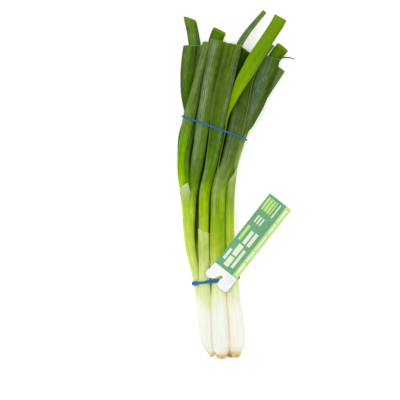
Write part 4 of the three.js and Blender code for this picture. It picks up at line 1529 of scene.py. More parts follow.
@dataclass
class CardTag:
    """The card tag, whose slotted white end hangs on the lower band. Plain bars stand for its print.

    It runs from corner at the angle heading, and its far end hangs by droop, both in degrees. A
    corner of its outline is given by its place across and along and by its radius.
    """

    name: str = "card_tag"
    width: float = 26.3
    length: float = 100.0
    thickness: float = 0.42
    heading: float = 51.7
    droop: float = 1.4
    corner: tuple[float, float, float] = (-30.4, -86.9, 26.9)
    outline: tuple[tuple[float, float, float], ...] = (
        (3.4, 0.2, 1.3), (8.7, 3.2, 1.2), (10.7, 7.4, 0.7), (11.7, 9.2, 0.6), (14.0, 9.8, 0.7),
        (14.8, 8.4, 0.7), (13.6, 6.6, 0.8), (14.0, 1.8, 1.2), (16.1, -0.8, 0.9), (24.5, -0.7, 0.8),
        (26.3, 0.8, 0.9), (26.3, 100.0, 0.25), (0.0, 100.0, 0.25), (0.0, 16.0, 1.0),
        (-0.6, 8.0, 0.2), (-1.35, 6.6, 0.5), (-1.5, 4.2, 0.8), (-0.6, 2.1, 0.9),
    )
    prints: tuple[Print, ...] = (
        *(Print(Ink.PALE, *box) for box in (
            (2.6, 5.4, 24.0, 36.0), (7.0, 12.2, 19.5, 30.5), (7.0, 12.2, 32.0, 44.5),
            (14.0, 16.8, 21.5, 42.0), (8.4, 11.8, 46.5, 61.0), (13.4, 16.8, 46.5, 61.5),
            (4.6, 6.0, 69.0, 77.0), (7.6, 9.0, 69.0, 77.0), (10.6, 12.0, 69.0, 77.0),
            (15.0, 16.3, 82.0, 97.0), (22.0, 24.0, 18.5, 33.0), (22.0, 24.0, 34.5, 47.0),
            (22.0, 24.0, 48.5, 66.0), (22.0, 24.0, 67.5, 80.0), (22.0, 24.0, 81.5, 97.0))),
        *(Print(Ink.LIME, *box) for box in (
            (2.8, 5.4, 47.0, 64.0), (2.0, 4.2, 83.0, 97.0), (5.2, 7.4, 83.0, 97.0),
            (8.4, 10.6, 83.0, 97.0), (11.6, 12.8, 83.0, 97.0), (20.5, 26.4, 16.0, 100.1))),
        Print(Ink.GREEN, -0.1, 20.5, 16.0, 100.1),
    )
    finishes: tuple[CardFinish, ...] = (
        CardFinish("bare_card", tone(246, 247, 247)),
        CardFinish("green_ink", tone(90, 163, 106)),
        CardFinish("lime_ink", tone(189, 226, 114)),
        CardFinish("pale_ink", tone(230, 240, 214)),
    )

    CORNER_POINTS = 6
    EDGE_MARGIN = 0.05    # how far from the outline a cut for a print or a bend has to stay, in mm

    def _rounded_outline(self) -> list[tuple[float, float]]:
        """Rounds each corner of the outline by its own radius.

        Returns:
            The points of the outline.
        """
        corners = np.array(self.outline)[:, :2]
        found: list[tuple[float, float]] = []
        for i, (*_, radius) in enumerate(self.outline):
            here = corners[i]
            back, ahead = corners[i - 1] - here, corners[(i + 1) % len(corners)] - here
            far, near = np.linalg.norm(back), np.linalg.norm(ahead)
            start = here + back / far * min(radius, far * 0.45)
            end = here + ahead / near * min(radius, near * 0.45)
            for t in np.linspace(0.0, 1.0, self.CORNER_POINTS):
                spot = (1 - t) ** 2 * start + 2 * t * (1 - t) * here + t * t * end
                found.append((float(spot[0]), float(spot[1])))
        return found

    def _bent(self, flat: Array) -> Array:
        """Carries the flat card to where the arched and drooping card lies.

        Args:
            flat: Points of the flat card, in mm: across, along and up.

        Returns:
            The points of the bent card, in mm.
        """
        across, along, up = flat.T
        arch = 0.75 * np.sin(math.pi * np.clip(along / self.length, 0.0, 1.0)) ** 2
        dish = -0.25 * ((across / self.width - 0.5) * 2) ** 2
        curl = -0.5 * smooth_step(12.0, 0.0, along) * np.clip((12.5 - across) / 12.5, 0.0, 1.0)
        height = up + 0.12 + arch + dish * 0.5 + curl * 0.4
        tilt = math.radians(-self.droop)
        y = along * math.cos(tilt) - height * math.sin(tilt)
        z = along * math.sin(tilt) + height * math.cos(tilt)
        turn = math.radians(self.heading - 90.0)
        x_out = across * math.cos(turn) - y * math.sin(turn) + self.corner[0]
        y_out = across * math.sin(turn) + y * math.cos(turn) + self.corner[1]
        return np.stack([x_out, y_out, z + self.corner[2]], axis=-1)

    def _flat_card(self) -> bmesh.types.BMesh:
        """Cuts the flat card out, with edges round each print and where it bends.

        Returns:
            The card, in mm.
        """
        work = bmesh.new()
        under = work.faces.new([work.verts.new((x, y, 0.0)) for x, y in self._rounded_outline()])
        work.faces.ensure_lookup_table()
        raised = bmesh.ops.extrude_face_region(work, geom=[under])
        for item in raised["geom"]:
            if isinstance(item, bmesh.types.BMVert):
                item.co.z = self.thickness
        across = {edge for area in self.prints for edge in (area.left, area.right)}
        along = {edge for area in self.prints for edge in (area.low, area.high)}
        across |= {round(k * self.width / 10, 3) for k in range(1, 10)}
        along |= {4.0 * k for k in range(1, 25)}
        sides = ((across, self.width, (1.0, 0.0, 0.0)), (along, self.length, (0.0, 1.0, 0.0)))
        for lines, limit, normal in sides:
            for line in sorted(lines):
                if self.EDGE_MARGIN < line < limit - self.EDGE_MARGIN:
                    spot = tuple(line * part for part in normal)
                    every = work.verts[:] + work.edges[:] + work.faces[:]
                    bmesh.ops.bisect_plane(work, geom=every, plane_co=spot, plane_no=normal)
        bmesh.ops.recalc_face_normals(work, faces=work.faces[:])
        return work

    def build(self) -> Piece:
        """Cuts the card out, prints it and bends it.

        Returns:
            The finished piece.
        """
        work = self._flat_card()
        for face in work.faces:
            middle = face.calc_center_median()
            inks = [area.ink for area in self.prints if area.holds(middle.x, middle.y)]
            face.material_index = (inks[0] if inks and face.normal.z > 0.9 else Ink.CARD).value
        bent = self._bent(np.array([vert.co[:] for vert in work.verts])) * MM
        for vert, spot in zip(work.verts, bent):
            vert.co = spot
        mesh = bpy.data.meshes.new(self.name)
        work.to_mesh(mesh)
        work.free()
        piece = bpy.data.objects.new(self.name, mesh)
        bpy.context.scene.collection.objects.link(piece)
        for finish in self.finishes:
            mesh.materials.append(finish.material())
        return seat(piece, "tag_card", "tag")


# ---- the onions' tables ----
# A stem row is x, y, z, half width, half height; a leaf row x, y, z, width, thickness, and roll.

A_STEM: Rows = (
    (-24.8, -159.6, 5.5, 2.6, 2.6), (-25.7, -157.4, 5.6, 3.8, 3.8), (-27.8, -152.5, 5.7, 5, 5),
    (-29.6, -146.5, 5.78, 5.7, 5.7), (-31.1, -138, 5.85, 5.9, 5.9), (-32.2, -128, 6.3, 5.6, 5.6),
    (-34, -112, 6.9, 5.2, 5.2), (-35.3, -101, 7.6, 5, 5), (-37.2, -90, 7.8, 4.9, 4.9),
    (-39.8, -79, 8, 4.9, 4.9), (-43, -65.5, 8.5, 5, 5), (-44.8, -53, 9, 5.3, 5.3),
    (-45.5, -38, 9.6, 5.8, 5.7), (-45.6, -25, 10, 6.5, 5.9), (-45.8, -14, 10.2, 7.5, 6.2),
    (-46.2, -8, 10.5, 8, 6.4),
)
A_LEFT_LEAF: Rows = (
    (-46.9, -36, 9.7, 9, 9.6), (-47.3, -25, 10, 8.8, 9.4), (-48.9, -14, 10.3, 7.6, 7.6),
    (-51, -3, 10.7, 7, 7), (-52.3, 8, 11, 7.8, 6.4), (-52.3, 22, 11, 8.5, 5.8), (-50.6, 36, 10.9, 9.6, 5.6),
    (-47.9, 52, 10.7, 10.6, 5.2), (-44.6, 67, 10.6, 11.6, 4.8), (-40.2, 84, 10.4, 10.6, 4.5),
    (-35.2, 104, 9.9, 10.2, 4.2), (-30.6, 121, 9.2, 10.6, 3.9), (-26.6, 136.5, 8.5, 11, 3.7),
)
A_FRONT_LEAF: Rows = (
    (-44.4, -36, 9.9, 9.4, 10.4), (-44, -25, 10.3, 10, 11.3), (-42.6, -12, 11.1, 9.6, 10.4),
    (-40.7, -3, 12.1, 9.2, 9), (-39.6, 7, 13, 10.2, 7.2), (-37.4, 23, 14, 11.8, 4.9),
    (-34.7, 42, 14.6, 12.2, 4.7), (-32, 61, 14.8, 12.7, 4.5), (-28.5, 80, 14.8, 13.4, 4.3),
    (-25.1, 100, 14.4, 13.4, 4.1), (-20.9, 119, 13.7, 14.4, 3.9), (-17.2, 137.5, 12.8, 14.8, 3.7),
)
A_OUTER_LEAF: Rows = (
    (-49.5, -8, 8.6, 7.5, 4.4), (-49.4, 8, 7.6, 12.4, 4), (-49.2, 24, 6.6, 14.4, 3.8),
    (-48.2, 42, 5.8, 15.6, 3.8), (-47.8, 53, 5.4, 12.4, 3.8), (-47.2, 62, 5.2, 7.2, 3.8),
    (-46.3, 69, 5.1, 7.2, 3.8), (-47, 78, 5.1, 9.6, 3.8), (-47.8, 90, 5.2, 11.4, 3.7),
    (-47.6, 104, 5.5, 12.6, 3.6), (-46.4, 119, 5.8, 13.2, 3.5), (-45.1, 133.2, 6, 12.4, 3.5),
)
A_INNER_LEAF: Rows = (
    (-46.6, -8, 10.6, 5, 3.6), (-47, 4, 11, 4.8, 3.4), (-47.2, 16, 10.6, 4.6, 3.2), (-46.8, 28, 10, 4.4, 3),
    (-44.7, 39, 9.4, 4.6, 3), (-41.2, 52, 8.8, 5.4, 3), (-39.2, 66, 8.4, 5.6, 3), (-38.4, 82, 8, 7, 3),
    (-37.9, 98, 7.6, 7.6, 3), (-36.9, 114, 7.1, 7.2, 3), (-35, 133.2, 6.5, 6.2, 3),
)
B_STEM: Rows = (
    (-24.3, -160.6, 18.1, 3, 3), (-25.2, -158.4, 18.3, 4.1, 4.1), (-27.1, -153.5, 18.7, 5.6, 5.3),
    (-28.9, -147, 18.9, 6.8, 6.2), (-29.85, -138.5, 18.9, 7.55, 6.7), (-30.2, -125, 18.3, 7.35, 6.5),
    (-30.3, -112, 17.4, 6.7, 6), (-30.5, -97, 16.5, 5.5, 5.2), (-30.7, -84, 16.1, 5.25, 5),
    (-30.95, -71, 16, 5.3, 5), (-31.25, -55, 16, 5.4, 5.1), (-31.4, -45, 16, 5.4, 5.2),
)
B_CORE: Rows = (
    (-31.4, -53, 16, 4.5, 4.5), (-31.4, -45, 16, 4.85, 4.7), (-31.2, -30, 16, 4.9, 4.7),
    (-31, -15, 15.9, 4.9, 4.6), (-30.4, -5, 15.8, 4.7, 4.2), (-29.6, 2, 15.7, 4.2, 3.4),
)
B_FRONT_LEAF: Rows = (
    (-31.4, -36, 16, 9.4, 9, 0), (-31.1, -26, 16, 10, 9.5, 0), (-30.9, -16, 15.95, 10.4, 9.4, 0),
    (-30, -6, 15.9, 10.7, 8.2, 0), (-27.7, 4, 16, 11, 6.8, 0), (-25.4, 14, 16.1, 11, 5.2, 0),
    (-23.2, 25, 16.2, 12.1, 4.8, 2), (-20.2, 42, 16.2, 13.2, 4.6, 4), (-17.8, 61, 16, 14.7, 4.5, 5),
    (-14.4, 80, 15.7, 15.8, 4.3, 5), (-10.7, 100, 15, 16.6, 4.1, 5), (-6.3, 119, 14.1, 16.8, 3.9, 4),
    (-2.8, 134, 13.2, 16.4, 3.7, 3),
)
B_THIN_LEAF: Rows = (
    (-29.6, -8, 14, 6, 4), (-27, 10, 12.4, 6, 3.8), (-23.2, 32, 11.4, 6.4, 3.8),
    (-19.6, 54, 10.8, 6.6, 3.8), (-15.2, 74, 10.6, 6.6, 3.8), (-10.6, 94, 10.2, 6.6, 3.8),
    (-6.8, 109, 9.7, 6.4, 3.8), (-2, 122.5, 9.2, 6.4, 3.7), (3, 133.5, 8.8, 6.2, 3.6),
    (7.6, 141.3, 8.6, 5.9, 3.4), (12.8, 148.5, 8.6, 5.4, 3.3), (20, 157.5, 8.8, 4.9, 3.2),
    (26.6, 165.4, 9.2, 4.6, 3.2),
)
C_STEM: Rows = (
    (-14.4, -161.8, 18.8, 5.3, 4.8), (-14.4, -160, 19, 6.9, 6.2), (-14.7, -157, 19.2, 8.5, 6.9),
    (-14.8, -152.5, 19.4, 9.6, 7.2), (-15.3, -145, 19.75, 9.8, 7.4), (-15.9, -134, 19.6, 9.6, 7.4),
    (-16.6, -123, 18.9, 9.3, 7.2), (-17.2, -112, 18.4, 8.5, 6.9), (-17.3, -99, 18.1, 6.9, 6.3),
    (-17.8, -82, 17.7, 6.7, 6.3), (-18.4, -67, 17.7, 7, 6.5), (-18.5, -52, 17.6, 6.95, 6.7),
    (-18.3, -34, 17.5, 6.6, 6.5), (-17.9, -22, 17.5, 6.1, 6), (-17.6, -12, 17.5, 5.6, 5.4),
)
C_FRONT_LEAF: Rows = (
    (-18.4, -38, 17.5, 12.8, 12.6), (-18, -26, 17.5, 13.4, 13.1), (-17.7, -14, 17.5, 13.6, 12.8),
    (-16.9, -4, 17.4, 13.7, 11.2), (-15.2, 4, 17.3, 13.4, 9.4), (-12.8, 11, 17.2, 12.9, 7.2),
    (-9.9, 18, 17.1, 12.6, 5.6), (-6.9, 28, 16.9, 13.4, 4.4), (-3.2, 42, 16.6, 14.2, 4.2),
    (0.3, 57, 16.2, 15, 4), (3.2, 71, 15.7, 15, 3.9), (6, 85, 15, 14.6, 3.8), (9, 99, 14.3, 14.2, 3.7),
    (13, 111, 13.7, 14, 3.6), (19.4, 121.5, 13.1, 14, 3.5), (26.5, 130.5, 12.7, 13.6, 3.5),
    (31.5, 136, 12.4, 13, 3.4),
)
C_BLADE_LEAF: Rows = (
    (-18.2, -10, 17.6, 4, 2, 30), (-18.2, 4, 17.9, 4.4, 1.6, 62), (-17.9, 14, 18.2, 4.8, 1.2, 80),
    (-16.6, 23, 18.5, 5.4, 0.9, 86), (-14, 35, 18.5, 6.2, 0.9, 86), (-11, 51, 18.2, 7.4, 1.1, 84),
    (-9.4, 61.4, 18, 8.6, 1.5, 80), (-7.4, 69, 18.1, 10, 1.5, 73), (-5.1, 76, 18.3, 11.5, 1.6, 61),
    (-2, 84.4, 18.4, 12.6, 1.6, 49), (1.7, 92, 18.2, 13.2, 1.7, 37), (5.7, 99.7, 17.9, 13.5, 1.7, 26),
    (10.7, 108, 17.4, 13.6, 1.8, 17), (16.1, 118, 17.1, 13.6, 1.8, 10), (20.8, 125, 16.8, 13.4, 1.8, 7),
    (29.1, 138, 16.3, 12.8, 1.8, 4), (38.7, 153, 15.8, 13, 1.8, 2), (42.2, 159.6, 15.6, 12.8, 1.8, 2),
)
D_STEM: Rows = (
    (-0.7, -160.2, 18.2, 4.9, 4.6), (-0.5, -158, 18.4, 6.5, 5.9), (0, -153.5, 18.8, 8, 7.1),
    (0.1, -146, 19.1, 8.75, 7.5), (-0.6, -137, 18.9, 8.85, 7.5), (-2, -124, 18.3, 8.3, 7),
    (-3.4, -112, 17.8, 7.4, 6.4), (-3.5, -98, 17.8, 6, 5.8), (-5, -80, 16.4, 5.4, 5.4),
    (-6.7, -62, 14.2, 5, 5), (-7.2, -44, 13.1, 5, 5), (-7.3, -27, 12.8, 4.9, 4.9),
    (-6.9, -14, 12.5, 4.9, 4.9), (-6.2, -4, 12.1, 4.9, 4.8), (-5.2, 5.2, 11.9, 4.9, 4.7),
)
D_FRONT_LEAF: Rows = (
    (-7.4, -38, 13, 8.6, 8.6, 0), (-7.3, -26, 12.8, 8.8, 8.8, 0), (-6.9, -14, 12.5, 8.9, 8.9, 0),
    (-6.1, -3, 12.1, 8.8, 8.6, 0), (-5.9, 7, 12, 7.2, 7, 0), (-5.1, 16, 12.1, 5.8, 5.6, 0),
    (-3, 28, 12.2, 5.4, 4, 0), (0.1, 40, 12.2, 5.9, 3.8, 0), (4.2, 50, 12, 9, 3.7, 2),
    (9.3, 58, 11.9, 13.2, 3.6, 3), (13.8, 67, 11.6, 14.6, 3.6, 4), (18.6, 78, 11.1, 16.4, 3.5, 4),
    (23.1, 91, 10.5, 18.4, 3.5, 3), (26.6, 102, 10, 19.4, 3.4, 2), (30.2, 112, 9.5, 19.2, 3.4, 0),
    (33, 122, 9, 17.5, 3.4, 0),
)
D_SIDE_LEAF: Rows = (
    (-6.4, -12, 11, 6, 4), (-4.6, 5, 9.8, 7, 3.6), (-2.2, 20, 9.4, 8.2, 3.4), (1.6, 34, 9, 8.4, 3.3),
    (5.6, 46, 8.7, 8.8, 3.2), (9.4, 56, 8.3, 9.2, 3.2), (17, 70.5, 7.8, 10, 3.2),
    (21.9, 79, 7.4, 10.4, 3.2), (28.4, 90.4, 6.9, 10.6, 3.2), (35.5, 101, 6.3, 10.6, 3.1),
    (42.3, 111, 5.9, 10.6, 3),
)
E_STEM: Rows = (
    (-18.4, -159.4, 5.9, 3.1, 3.1), (-18.4, -156, 6, 4.8, 4.8), (-18.5, -150, 6.2, 5.9, 5.9),
    (-18.6, -142, 6.08, 6.2, 6.2), (-19.2, -130, 6.4, 6, 6), (-21.2, -112, 6.9, 5.4, 5.4),
    (-24.6, -96, 7.9, 5, 5), (-30.8, -77, 6, 4.7, 4.7), (-35.2, -60, 5.4, 4.4, 4.4),
    (-36.5, -42, 5.2, 4.3, 4.3), (-37, -25, 5.1, 4.3, 4.3), (-36.8, -8, 5.2, 4.6, 4.3),
    (-35.8, 8, 5.2, 5.2, 4),
)
E_LEFT_LEAF: Rows = (
    (-37.4, -12, 5.4, 7.6, 5), (-37.4, 6, 5.6, 8.2, 4.8), (-37, 24, 5.6, 9, 4.4), (-35.2, 42, 5.4, 9.2, 4),
    (-31.2, 61, 5.1, 8.6, 3.8), (-33, 80, 4.4, 9.4, 3.7), (-35, 100, 3.4, 10.2, 3.6),
    (-37.6, 119, 2.4, 11, 3.5), (-39.9, 134, 1.95, 11.4, 3.4), (-42.1, 147.6, 1.68, 11.4, 3.4),
    (-44.6, 158.6, 1.6, 11.4, 3.4),
)
E_RIGHT_LEAF: Rows = (
    (-35.8, -12, 5.4, 7.6, 5), (-33.2, 6, 5.6, 7.8, 4.8), (-29.4, 24, 5.6, 8, 4.4),
    (-25.8, 42, 5.4, 8.4, 4), (-23.6, 61, 5.1, 9, 3.8), (-24, 80, 4.6, 10, 3.7), (-24.2, 97, 4, 11.2, 3.6),
    (-23.4, 112, 3.4, 12.2, 3.6), (-22, 125, 2.8, 13, 3.5), (-19.8, 138, 2.3, 13.6, 3.4),
    (-16.4, 147.6, 2, 13.6, 3.4),
)
F_STEM: Rows = (
    (-6, -161.6, 5.9, 3.1, 3.1), (-5.7, -158.8, 6, 4.6, 4.6), (-5.4, -153, 6.2, 5.8, 5.8),
    (-5.2, -144, 6.18, 6.3, 6.3), (-5.9, -131, 6.4, 6.1, 6.1), (-8.2, -112, 6.9, 5.4, 5.4),
    (-13.2, -96, 8.2, 5.2, 5.2), (-19.6, -77, 6.8, 5.1, 5.1), (-22.4, -59, 6.3, 5.1, 5.1),
    (-23.4, -41, 6.3, 5.1, 5.1), (-23.5, -24, 6.3, 5.1, 5.1), (-22.8, -8, 6.2, 5, 5), (-20.6, 6, 6, 5, 4.6),
)
F_LEFT_LEAF: Rows = (
    (-23.4, -12, 6.2, 7.2, 5), (-21.2, 5, 6.2, 7.6, 4.6), (-17.8, 20, 6.2, 7.8, 4.2), (-14, 35, 6.2, 8, 4),
    (-10.6, 50, 6.2, 8.2, 3.8), (-7.6, 66, 6.4, 8.8, 3.7), (-4.9, 82, 6.8, 9.4, 3.6),
    (-1.2, 96, 7.2, 10, 3.5), (2.2, 107, 7.6, 11.4, 3.5), (6.1, 118, 8, 12.4, 3.4),
    (10.1, 127.8, 8.4, 12.4, 3.4),
)
F_RIGHT_LEAF: Rows = (
    (-22.2, -12, 6, 7.2, 4.8), (-18.6, 5, 5.5, 7.6, 4.2), (-12.8, 20, 4.9, 7.8, 3.8),
    (-5.8, 34, 4.6, 8.2, 3.5), (2.2, 48, 4.4, 8.8, 3.4), (10.4, 62, 4.2, 9.6, 3.4),
    (16.7, 76.5, 3.7, 10.4, 3.3), (21.9, 90, 3, 11.2, 3.3), (27.2, 103.5, 2.3, 12, 3.2),
    (32.4, 114, 1.9, 12.4, 3.2), (38.2, 123.4, 1.6, 12.4, 3.2), (44.4, 131.2, 1.5, 12.4, 3.2),
)
F_DRY_TIP_LEAF: Rows = (
    (36, 121.8, 1.9, 2, 1), (41, 121.6, 2.6, 1.8, 0.9), (46.2, 121.9, 3, 1.5, 0.8),
    (51.6, 121.6, 3.1, 1.2, 0.8), (56.6, 120.1, 2.9, 0.8, 0.7),
)

# ---- finishes of the onions ----

BULB_STOPS = shades((-168, *ROOT_END_TAN), (-162, 240, 235, 212), (-155, *BULB_WHITE), (-122, *BULB_WHITE))
TAN_BULB_STOPS = shades((-164, *ROOT_END_TAN), (-158.5, 241, 228, 197), (-154, *BULB_WHITE),
                        (-122, *BULB_WHITE))
sheath = partial(PlantFinish, roughness=0.36, glow=0.4)    # smoother than a leaf, and light shines into it

STEM_A = sheath("stem_a_skin", BULB_STOPS + shades(
    (-108, 231, 235, 186), (-90, 213, 226, 140), (-70, 203, 219, 104), (-44, 187, 210, 69),
    (-20, 155, 189, 13), (4, 136, 176, 1),
), streaks=0.12)
STEM_B = sheath("stem_b_skin", BULB_STOPS + shades(
    (-114, 231, 235, 186), (-100, 221, 231, 158), (-84, 216, 228, 150), (-62, 188, 208, 100),
    (-52, 190, 210, 108), (-44, 196, 214, 124),
), streaks=0.14)
CORE_B = sheath("stem_b_inner_sheath", shades(
    (-56, 180, 206, 61), (-44, 168, 198, 33), (-15, 152, 186, 21), (4, 128, 166, 3),
), streaks=0.16)
STEM_C = sheath("stem_c_skin", BULB_STOPS + shades(
    (-112, 240, 242, 216), (-96, 231, 236, 180), (-80, 208, 221, 116), (-64, 172, 197, 45),
    (-36, 130, 169, 0), (-8, 128, 160, 31), (12, 98, 126, 35),
), streaks=0.15)
STEM_D = sheath("stem_d_skin", TAN_BULB_STOPS + shades(
    (-112, 240, 242, 216), (-92, 225, 233, 166), (-66, 192, 212, 79), (-38, 170, 196, 41),
    (-16, 134, 167, 15), (2, 142, 170, 53), (14, 162, 184, 96),
), streaks=0.2)
# Stops of the low stems of onions e and f: white and pale green lower down, then from about -54 mm up nearly
# black-green, which is painted shade of the deep gaps they are seen through.
LOW_SHADED_STOPS = BULB_STOPS + shades(
    (-108, 231, 235, 192), (-90, 214, 228, 146), (-68, 184, 212, 51), (-60, 148, 182, 11),
    (-54, 74, 104, 0), (-20, 52, 80, 0), (8, 56, 88, 0),
)
# Darker, browner roots for onion f, whose roots lie low between the bulbs: painted shade over the dried tan.
LOW_SHADED_ROOTS = RootFinish("low_shaded_dried_roots", tone(232, 204, 148), tone(224, 188, 122), tone(192, 146, 80))
STEM_E = replace(STEM_A, name="stem_e_skin", stops=LOW_SHADED_STOPS)
STEM_F = replace(STEM_A, name="stem_f_skin", stops=LOW_SHADED_STOPS)

LEAF_A_LEFT = PlantFinish("leaf_a_left", shades(
    (-36, 180, 206, 69), (-16, 154, 190, 11), (4, 150, 188, 0), (18, 120, 165, 0), (34, 106, 152, 0),
    (58, 100, 132, 33), (92, 90, 120, 37), (116, 92, 118, 45), (138, 96, 130, 35),
), roughness=0.4)
LEAF_A_FRONT = PlantFinish("leaf_a_front", shades(
    (-40, 186, 209, 86), (-24, 162, 192, 39), (-8, 112, 148, 15), (10, 88, 122, 9), (44, 88, 120, 27),
    (84, 86, 112, 33), (120, 84, 112, 27), (138, 90, 124, 23),
))
LEAF_A_OUTER = PlantFinish("leaf_a_outer", shades(
    (-10, 108, 150, 5), (30, 84, 122, 1), (70, 64, 96, 1), (100, 68, 100, 5), (134, 86, 116, 31),
))
LEAF_A_INNER = PlantFinish("leaf_a_inner", shades(
    (-10, 112, 160, 0), (12, 88, 136, 0), (36, 82, 116, 35), (52, 58, 84, 15), (134, 78, 104, 37),
))
LEAF_B_FRONT = PlantFinish("leaf_b_front", shades(
    (-38, 164, 194, 29), (-16, 148, 182, 5), (8, 92, 134, 0), (38, 70, 106, 0), (78, 76, 104, 13),
    (116, 76, 102, 19), (136, 86, 120, 17),
))
LEAF_B_THIN = PlantFinish("leaf_b_thin", shades(
    (-10, 120, 158, 11), (60, 72, 104, 21), (120, 82, 112, 35), (150, 92, 120, 57), (166, 96, 132, 35),
), bloom=tone(122, 146, 122))
LEAF_C_FRONT = PlantFinish("leaf_c_front", shades(
    (-38, 132, 170, 0), (-14, 134, 167, 19), (8, 106, 136, 35), (22, 88, 112, 35), (40, 80, 103, 35),
    (70, 68, 93, 23), (98, 56, 82, 3), (124, 72, 104, 9), (132, 112, 144, 43),
), bloom=tone(140, 158, 130), roughness=0.44)
# The blade's bright lime is partly the young leaf's own colour and partly painted light shining through it.
LEAF_C_BLADE = PlantFinish("leaf_c_blade", shades(
    (-10, 150, 168, 61), (12, 158, 172, 75), (18, 112, 132, 31), (42, 104, 120, 5), (62, 136, 166, 0),
    (84, 130, 167, 0), (104, 120, 159, 0), (130, 108, 149, 3), (160, 110, 148, 9),
), streaks=0.12, roughness=0.36)
LEAF_D_FRONT = PlantFinish("leaf_d_front", shades(
    (-38, 168, 194, 57), (-16, 134, 166, 31), (8, 104, 134, 33), (36, 84, 108, 35), (60, 76, 101, 31),
    (90, 66, 92, 17), (124, 72, 102, 17),
), bloom=tone(132, 154, 136), roughness=0.46)
LEAF_D_SIDE = PlantFinish("leaf_d_side", shades(
    (-12, 160, 186, 75), (14, 162, 190, 86), (30, 158, 186, 92), (42, 136, 164, 80), (70, 88, 112, 39),
    (110, 92, 118, 49),
), bloom=tone(132, 152, 120), roughness=0.44)
# The leaves of onions e and f lie under the others; their dark greens are painted shade.
LEAF_E_LEFT = PlantFinish("leaf_e_left", shades(
    (-12, 52, 82, 0), (60, 66, 98, 11), (130, 86, 118, 29), (150, 88, 120, 21), (160, 96, 134, 7),
))
LEAF_E_RIGHT = PlantFinish("leaf_e_right", shades(
    (-12, 50, 80, 0), (60, 60, 92, 3), (130, 80, 118, 3), (148, 88, 126, 0),
))
LEAF_F_LEFT = PlantFinish("leaf_f_left", shades(
    (-12, 48, 76, 0), (60, 34, 56, 0), (128, 42, 68, 0),
), roughness=0.46)
LEAF_F_RIGHT = PlantFinish("leaf_f_right", shades(
    (-12, 50, 80, 0), (60, 58, 88, 1), (118, 82, 118, 1), (132, 92, 128, 5),
))
DRY_TIP = PlantFinish("dry_leaf_tip", shades(
    (119, 126, 130, 74), (121, 98, 112, 56), (122, 80, 100, 44),
), streaks=0.3, roughness=0.6)


# ---- assembly ----

STEM_TABLES = (A_STEM, B_STEM, C_STEM, D_STEM, E_STEM, F_STEM)
# Each makes a stroke of its tint from the other fields of Stroke, in their order. The darkening strokes
# are painted shade, the yellowish ones painted light in the creases between bulbs, and the thinnest pale
# lines at a leaf's very edge painted highlights.
bloom, dusk, pale, straw = (partial(Stroke, tint) for tint in Tint)


@dataclass
class Onion:
    """One onion: its stem with the bulb, its leaves and its roots."""

    key: str
    stems: tuple[Stem, ...]
    leaves: tuple[Leaf, ...]
    seed: int
    reach: float = 4.6
    root_finish: RootFinish = RootFinish()

    BULB_ROWS = 4    # how many rows of the stem's table the root plate is fitted to

    def build(self) -> list[Piece]:
        """Builds every part of the onion.

        Returns:
            The stems and leaves, which the rubber bands are stretched round.
        """
        made = [part.build() for part in (*self.stems, *self.leaves)]
        bulb = self.stems[0].rows[:self.BULB_ROWS]
        roots = RootTuft(f"onion_{self.key}_root_tuft", f"onion_{self.key}_roots", bulb,
                         self.seed, self.reach, self.root_finish)
        for piece in (*made, roots.build()):
            log_piece(piece)
        return made


def log_piece(piece: Piece) -> None:
    """Logs a piece's name and size."""
    LOG.info("%s: %d faces", piece.name, len(piece.data.polygons))


def stem(key: str, rows: Rows, finish: PlantFinish, **settings: Any) -> Stem:
    """The stem of an onion, which is pressed against the other stems.

    Args:
        key: The onion's letter.
        rows: The stem's table.
        finish: Its finish.
        **settings: Its other fields.

    Returns:
        The stem.
    """
    nodes = (f"onion_{key}_bulb", f"onion_{key}_leaves")
    beside = tuple(Neighbour(table) for table in STEM_TABLES if table is not rows)
    return Stem(f"onion_{key}_stem", rows, finish, nodes=nodes, seed=ord(key), beside=beside, **settings)


def leaf(key: str, title: str, rows: Rows, finish: PlantFinish, **settings: Any) -> Leaf:
    """A leaf of an onion, which stands for part of its green top."""
    seed = ord(key) * 7 + len(title) * 3 + ord(title[0])
    return Leaf(f"onion_{key}_leaf_{title}", rows, finish, node=f"onion_{key}_leaves", seed=seed, **settings)


